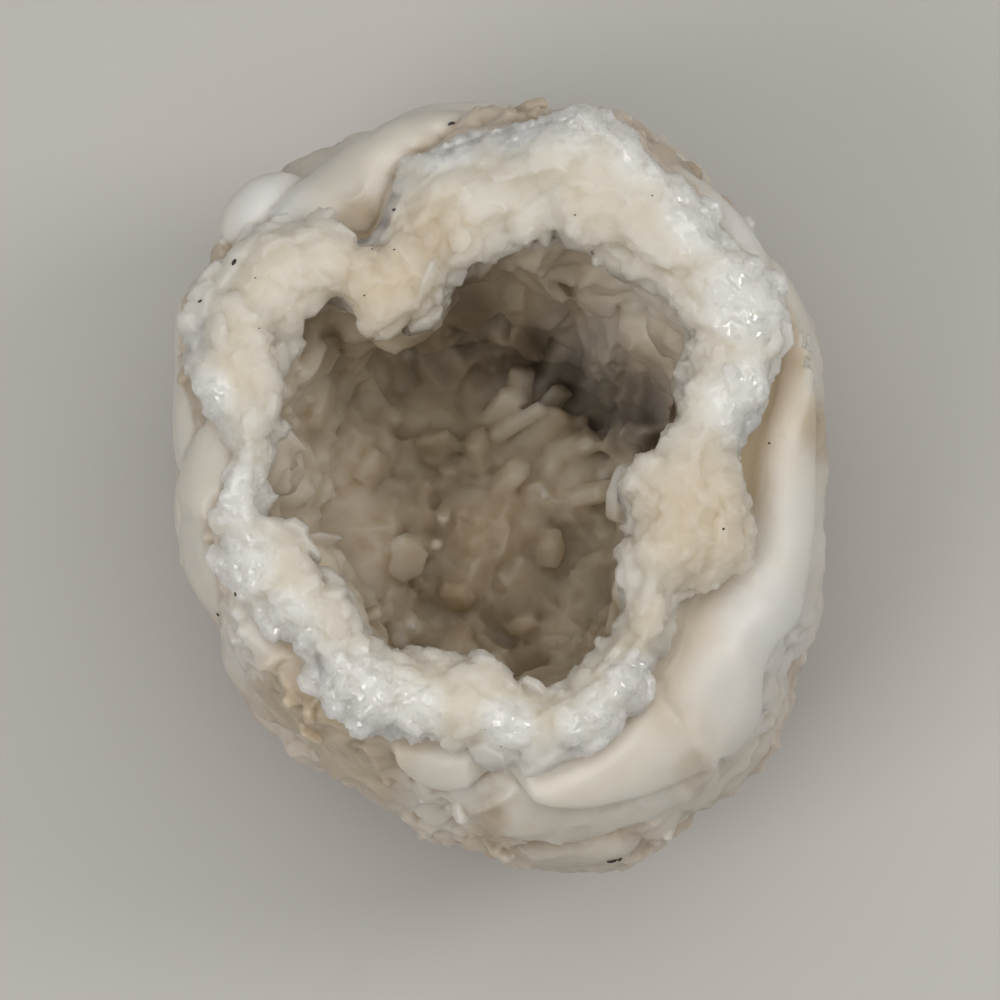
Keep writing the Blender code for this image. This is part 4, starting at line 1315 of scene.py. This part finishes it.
@dataclass
class DarkSpecks:
    """The small dark grains of another mineral on the rim and the skin."""

    # X, Y, half length, half width, turn in degrees
    grains: tuple[tuple[float, ...], ...] = (
        (-28.6, 24.0, 0.5, 0.26, 60.0), (-32.2, 19.4, 0.45, 0.18, 20.0), (-10.2, 30.7, 0.3, 0.22, 0.0),
        (-12.2, 25.9, 0.14, 0.12, 0.0), (-10.0, 25.6, 0.16, 0.12, 0.0), (-13.7, 19.7, 0.16, 0.12, 0.0),
        (-24.7, 16.2, 0.16, 0.12, 0.0), (-25.7, 21.8, 0.14, 0.1, 0.0), (28.0, -7.1, 0.2, 0.16, 30.0),
        (33.0, 3.6, 0.18, 0.14, 0.0), (-28.0, -14.0, 0.3, 0.15, 100.0), (10.5, 28.5, 0.14, 0.12, 0.0),
        (20.0, 31.0, 0.14, 0.1, 0.0), (2.5, -32.0, 0.14, 0.1, 0.0), (-31.0, -15.0, 0.4, 0.16, 110.0),
        (15.4, -44.6, 0.75, 0.3, 10.0), (16.8, -44.3, 0.4, 0.25, 50.0), (-3.6, 42.3, 0.5, 0.3, 20.0),
    )

    def on_ground(self, x: float, y: float, ground: np.ndarray) -> np.ndarray:
        """The highest point of the stone near a place as seen from above."""
        away = np.hypot(ground[:, 0] - x, ground[:, 1] - y)
        near = ground[away < max(away.min() + 0.2, 0.6)]
        return near[near[:, 2].argmax()]

    def build(self, grounds: Sequence[bpy.types.Object]) -> bpy.types.Object:
        """Makes the grains, each a small flattened lump half sunk in the stone under it."""
        ground = np.concatenate([points_of(piece.data) for piece in grounds])
        ground = ground[ground[:, 2] > 35.0]
        clear_selection()
        made = []
        for x, y, half_length, half_width, turn in self.grains:
            place = self.on_ground(x, y, ground)
            bpy.ops.mesh.primitive_ico_sphere_add(
                subdivisions=1,
                location=place,
                rotation=(0.2, 0.1, math.radians(turn)),
                scale=(half_length, half_width, 0.6 * half_width),
            )
            made.append(bpy.context.object)
        clear_selection()
        for grain in made:
            grain.select_set(True)
        bpy.context.view_layer.objects.active = made[0]
        bpy.ops.object.join()
        bpy.ops.object.transform_apply(location=True, rotation=True, scale=True)
        piece = bpy.context.object
        piece.name = piece.data.name = "dark_specks"
        return piece


Color = tuple[float, float, float]


class Finish:
    """A node material under way: an empty one, and the few kinds of step that the finishes share."""

    def __init__(self, name: str) -> None:
        """Makes the material.

        Args:
            name: the material's name.
        """
        self.material = bpy.data.materials.new(name)
        self.material.use_nodes = True
        self.nodes = self.material.node_tree.nodes
        self.links = self.material.node_tree.links
        self.shader = self.nodes["Principled BSDF"]
        self.place = self.nodes.new("ShaderNodeTexCoord").outputs["Object"]

    def mark(self, name: str) -> bpy.types.NodeSocket:
        """Reads a mark of the mesh."""
        node = self.nodes.new("ShaderNodeAttribute")
        node.attribute_name = name
        return node.outputs["Fac"]

    def cloud(self, size: float, detail: float, roughness: float = 0.55) -> bpy.types.NodeSocket:
        """Soft noise with clouds of about that size in millimetres."""
        node = self.nodes.new("ShaderNodeTexNoise")
        node.inputs["Scale"].default_value = 1.0 / (size * MM)
        node.inputs["Detail"].default_value = detail
        node.inputs["Roughness"].default_value = roughness
        self.links.new(self.place, node.inputs["Vector"])
        return node.outputs["Fac"]

    def between(
        self, value: bpy.types.NodeSocket, low: float, high: float, least: float = 0.0, most: float = 1.0
    ) -> bpy.types.NodeSocket:
        """Stretches a value from low and high to least and most, and holds it there."""
        node = self.nodes.new("ShaderNodeMapRange")
        for name, number in (("From Min", low), ("From Max", high), ("To Min", least), ("To Max", most)):
            node.inputs[name].default_value = number
        self.links.new(value, node.inputs["Value"])
        return node.outputs["Result"]

    def blend(
        self, share: bpy.types.NodeSocket, first: bpy.types.NodeSocket | Color, second: bpy.types.NodeSocket | Color
    ) -> bpy.types.NodeSocket:
        """Goes from the first colour to the second as the share goes from 0 to 1."""
        node = self.nodes.new("ShaderNodeMix")
        node.data_type = "RGBA"
        self.links.new(share, node.inputs["Factor"])
        for name, color in (("A", first), ("B", second)):
            if isinstance(color, tuple):
                node.inputs[name].default_value = (*color, 1.0)
            else:
                self.links.new(color, node.inputs[name])
        return node.outputs["Result"]

    def facets(self, sizes: Sequence[tuple[float, float]], strength: bpy.types.NodeSocket) -> None:
        """Tilts the surface as small flat crystal faces do, each its own way.

        Args:
            sizes: the width in millimetres and the steepest tilt in degrees, for each layer of faces.
            strength: how much of the tilt is there, from 0 to 1.
        """
        total = None
        for width, tilt in sizes:
            cells = self.nodes.new("ShaderNodeTexVoronoi")
            cells.inputs["Scale"].default_value = 1.0 / (width * MM)
            self.links.new(self.place, cells.inputs["Vector"])
            leaning = self.vector("SUBTRACT", cells.outputs["Color"], (0.5, 0.5, 0.5))
            slope = 2.0 * math.tan(math.radians(tilt))
            leaning = self.vector("MULTIPLY", leaning, (slope, slope, slope))
            total = leaning if total is None else self.vector("ADD", total, leaning)
        held = self.vector("MULTIPLY", total, strength)
        upright = self.nodes.new("ShaderNodeNewGeometry").outputs["Normal"]
        tilted = self.vector("ADD", upright, held)
        unit = self.vector("NORMALIZE", tilted, (0.0, 0.0, 0.0))
        self.links.new(unit, self.shader.inputs["Normal"])

    def sparks(self, width: float, rarity: float, where: bpy.types.NodeSocket) -> bpy.types.NodeSocket:
        """Picks a few scattered crystal faces.

        Args:
            width: how wide a face is, in millimetres.
            rarity: from 0, every face, to 1, none.
            where: how likely a face is to be picked, from 0 to 1.

        Returns:
            1 on the faces picked.
        """
        cells = self.nodes.new("ShaderNodeTexVoronoi")
        cells.inputs["Scale"].default_value = 1.0 / (width * MM)
        self.links.new(self.place, cells.inputs["Vector"])
        return self.between(self.vector("MULTIPLY", cells.outputs["Color"], where), rarity, rarity + 0.05)

    def vector(
        self, operation: str, first: bpy.types.NodeSocket, second: bpy.types.NodeSocket | Color
    ) -> bpy.types.NodeSocket:
        """One step of vector arithmetic."""
        node = self.nodes.new("ShaderNodeVectorMath")
        node.operation = operation
        self.links.new(first, node.inputs[0])
        if isinstance(second, tuple):
            node.inputs[1].default_value = second
        else:
            self.links.new(second, node.inputs[1])
        return node.outputs["Vector"]

    def bump(self, height: bpy.types.NodeSocket, distance: float, strength: float) -> None:
        """Adds fine relief, with its depth in millimetres."""
        node = self.nodes.new("ShaderNodeBump")
        node.inputs["Distance"].default_value = distance * MM
        node.inputs["Strength"].default_value = strength
        self.links.new(height, node.inputs["Height"])
        self.links.new(node.outputs["Normal"], self.shader.inputs["Normal"])

    def color(self, color: bpy.types.NodeSocket) -> None:
        """Sets what colours the surface."""
        self.links.new(color, self.shader.inputs["Base Color"])

    def settings(self, **numbers: float | Color) -> None:
        """Sets the shader's own sockets. An underscore stands for a space."""
        for name, number in numbers.items():
            self.shader.inputs[name.replace("_", " ")].default_value = number


@dataclass(frozen=True)
class SugaryQuartz:
    """Translucent milky quartz: bluish white or cream on the rim, brown down the hollow, with painted glints where the
    rim glitters, painted shade in its creases and painted light and shadow in the hollow.
    """

    milky: Color = (0.75, 0.69, 0.60)
    cream: Color = (0.69, 0.60, 0.485)
    bluish: Color = (0.79, 0.745, 0.66)
    # Painted glint: the near white that the glittering stretches are lightened toward
    painted_glint_white: Color = (0.97, 0.925, 0.835)
    smoky: Color = (0.68, 0.60, 0.48)
    # The hollow's brown is partly the quartz's own tint and partly painted shade: the wall is darker high up as
    # painted shade, and the floor lighter as painted light
    wall: Color = (0.58, 0.495, 0.39)
    floor: Color = (0.635, 0.55, 0.425)
    murky: Color = (0.40, 0.32, 0.22)
    # Painted light: the paler colour of lit patches and glinting crystals in the hollow
    pale: Color = (0.88, 0.79, 0.67)
    grey: Color = (0.32, 0.30, 0.28)
    # Painted shadow: the near black of the hollow's trench and undercut
    painted_shadow_tone: Color = (0.06, 0.04, 0.02)
    # Painted shade for the creases
    crease: Color = (0.60, 0.48, 0.34)
    light_depth: float = 0.009

    def build(self) -> bpy.types.Material:
        """Makes the material."""
        finish = Finish("sugary_quartz")
        clouds = finish.between(finish.cloud(7.0, 3.0), 0.35, 0.7)
        rim = finish.blend(clouds, self.milky, self.bluish)
        rim = finish.blend(finish.between(finish.mark("warm"), 0.0, 1.0), rim, self.cream)
        rim = finish.blend(finish.between(finish.mark("cool"), 0.0, 1.0), rim, self.bluish)
        rim = finish.blend(finish.between(finish.mark("tint"), 0.3, 1.0, 0.0, 0.35), rim, self.smoky)
        # Painted glints: the colour is lightened where the rim glitters
        rim = finish.blend(finish.between(finish.mark("glitter"), 0.3, 0.9, 0.0, 0.9), rim, self.painted_glint_white)
        depth = finish.mark("depth")
        # Painted shade and light: darker brown high on the wall, lighter on the floor
        inside = finish.blend(finish.between(depth, 0.15, 0.9), self.wall, self.floor)
        inside = finish.blend(finish.between(finish.cloud(11.0, 3.0), 0.42, 0.66), inside, self.murky)
        # Painted light and painted glints in the hollow
        inside = finish.blend(finish.mark("pale"), inside, self.pale)
        inside = finish.blend(finish.mark("cool"), inside, self.grey)
        # Painted shadow
        inside = finish.blend(finish.mark("dark"), inside, self.painted_shadow_tone)
        # Just below the lip the colour turns to the hollow's brown, partly as painted shade
        color = finish.blend(finish.between(depth, 0.05, 0.12), rim, inside)
        # Creases darkened as painted shade
        color = finish.blend(finish.between(finish.mark("recess"), 0.1, 1.2, 0.0, 0.2), color, self.crease)
        finish.color(color)
        finish.facets(((1.5, 6.0), (0.75, 12.0)), finish.mark("glitter"))
        dull = finish.between(finish.mark("glitter"), 0.1, 0.9, 0.5, 0.35)
        finish.links.new(dull, finish.shader.inputs["Roughness"])
        finish.links.new(finish.sparks(0.8, 0.51, finish.mark("glitter")), finish.shader.inputs["Coat Weight"])
        finish.settings(
            IOR=1.54,
            Subsurface_Weight=1.0,
            Subsurface_Radius=(1.0, 0.96, 0.88),
            Subsurface_Scale=self.light_depth,
            Specular_IOR_Level=0.15,
            Coat_Roughness=0.06,
            Coat_IOR=1.9,
        )
        return finish.material


@dataclass(frozen=True)
class DarkMineral:
    """The dark brown mineral of the specks."""

    body: Color = (0.030, 0.022, 0.016)

    def build(self) -> bpy.types.Material:
        """Makes the material."""
        finish = Finish("dark_mineral")
        finish.settings(Base_Color=(*self.body, 1.0), Roughness=0.6)
        return finish.material


@dataclass(frozen=True)
class WaxyChalcedony:
    """Waxy chalcedony: pearly on the folds, tan in patches and grooves and brown on the rough skin, with its creases
    and the crease under each fold's lip darkened toward tan as painted shade.
    """

    pearly: Color = (0.765, 0.73, 0.665)
    bluish: Color = (0.80, 0.80, 0.785)
    rough: Color = (0.70, 0.62, 0.53)
    tan: Color = (0.50, 0.395, 0.265)
    brown: Color = (0.48, 0.41, 0.33)
    light_depth: float = 0.0035

    def build(self) -> bpy.types.Material:
        """Makes the material."""
        finish = Finish("waxy_chalcedony")
        patches = finish.between(finish.cloud(14.0, 3.0), 0.4, 0.65)
        rough = finish.blend(patches, self.rough, self.brown)
        color = finish.blend(finish.between(finish.mark("smooth"), 0.0, 0.9), rough, self.pearly)
        # warm: tan patches and grooves, and the painted shadow under the folds' lips
        color = finish.blend(finish.between(finish.mark("warm"), 0.0, 1.0), color, self.tan)
        color = finish.blend(finish.between(finish.mark("cool"), 0.0, 1.0), color, self.bluish)
        # Creases darkened toward tan as painted shade
        color = finish.blend(finish.between(finish.mark("recess"), 0.05, 1.1, 0.0, 0.9), color, self.tan)
        finish.color(color)
        finish.bump(finish.cloud(1.6, 5.0, 0.6), 0.12, 0.5)
        finish.settings(
            Roughness=0.38,
            IOR=1.54,
            Subsurface_Weight=1.0,
            Subsurface_Radius=(1.0, 0.88, 0.72),
            Subsurface_Scale=self.light_depth,
        )
        return finish.material


@dataclass
class Studio:
    """The pale floor, two broad soft lights at the sides, and the camera that looks down into the hollow."""

    target: tuple[float, float, float] = (2.265, 0.925, 30.0)
    elevation: float = 82.0
    distance: float = 550.0
    lens: float = 165.0

    def build(self) -> None:
        """Makes the floor, the lights, the world and the camera."""
        self.floor()
        self.light("light_left", (-0.40, -0.30, 0.60), 0.35, 1.4)
        self.light("light_right", (0.50, 0.10, 0.50), 0.22, 0.95)
        self.light("light_high", (0.0, 0.05, 0.80), 0.90, 3.8)
        self.world()
        self.camera()

    def floor(self) -> None:
        """A plain pale floor."""
        clear_selection()
        bpy.ops.mesh.primitive_plane_add(size=4.0)
        floor = bpy.context.object
        floor.name = "floor"
        finish = Finish("floor")
        finish.settings(Base_Color=(0.60, 0.59, 0.57, 1.0), Roughness=0.9)
        floor.data.materials.append(finish.material)

    def light(self, name: str, place: tuple[float, float, float], size: float, power: float) -> None:
        """One square soft light that faces the nodule."""
        clear_selection()
        bpy.ops.object.light_add(type="AREA", location=place)
        light = bpy.context.object
        light.name = name
        light.data.size = size
        light.data.color = (1.0, 0.975, 0.935)
        light.data.energy = power
        aim = Vector((0.0, 0.0, 0.05)) - Vector(place)
        light.rotation_euler = aim.to_track_quat("-Z", "Y").to_euler()

    def world(self) -> None:
        """A dim even surround."""
        world = bpy.data.worlds.new("surround")
        bpy.context.scene.world = world
        world.use_nodes = True
        background = world.node_tree.nodes["Background"]
        background.inputs["Color"].default_value = (1.0, 0.97, 0.93, 1.0)
        background.inputs["Strength"].default_value = 0.08

    def camera(self) -> None:
        """The photograph's camera."""
        clear_selection()
        turn = math.radians(self.elevation)
        target = Vector(self.target) + Vector(AXIS_PLACE)
        place = (target + self.distance * Vector((0.0, -math.cos(turn), math.sin(turn)))) * MM
        bpy.ops.object.camera_add(location=place, rotation=(math.radians(90 - self.elevation), 0.0, 0.0))
        camera = bpy.context.object
        camera.data.lens = self.lens
        camera.data.sensor_width = 36.0
        camera.data.clip_start = 0.01
        bpy.context.scene.camera = camera
        bpy.context.scene.view_settings.view_transform = "Standard"


def main() -> None:
    """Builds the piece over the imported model, part by part."""
    logging.basicConfig(level=logging.INFO, format="%(message)s")
    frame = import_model()
    log.info("frame: %s", ", ".join(frame["nodes"]))
    form = NoduleForm()
    chalcedony = WaxyChalcedony().build()
    skin = ShellSkin(form).build()
    quartz = SugaryQuartz().build()
    crust = QuartzCrust(form).build()
    specks = DarkSpecks().build([skin, crust["rim"]])
    specks.data.materials.append(DarkMineral().build())
    settle_in_frame(specks, None)
    skin.data.materials.append(chalcedony)
    settle_in_frame(skin, "chalcedony_shell")
    log.info("%s: %d triangles", skin.name, triangle_count(skin.data))
    for piece in crust.values():
        piece.data.materials.append(quartz)
        settle_in_frame(piece, "quartz_crust")
        log.info("%s: %d triangles", piece.name, triangle_count(piece.data))
    Studio().build()


if __name__ == "__main__":
    main()
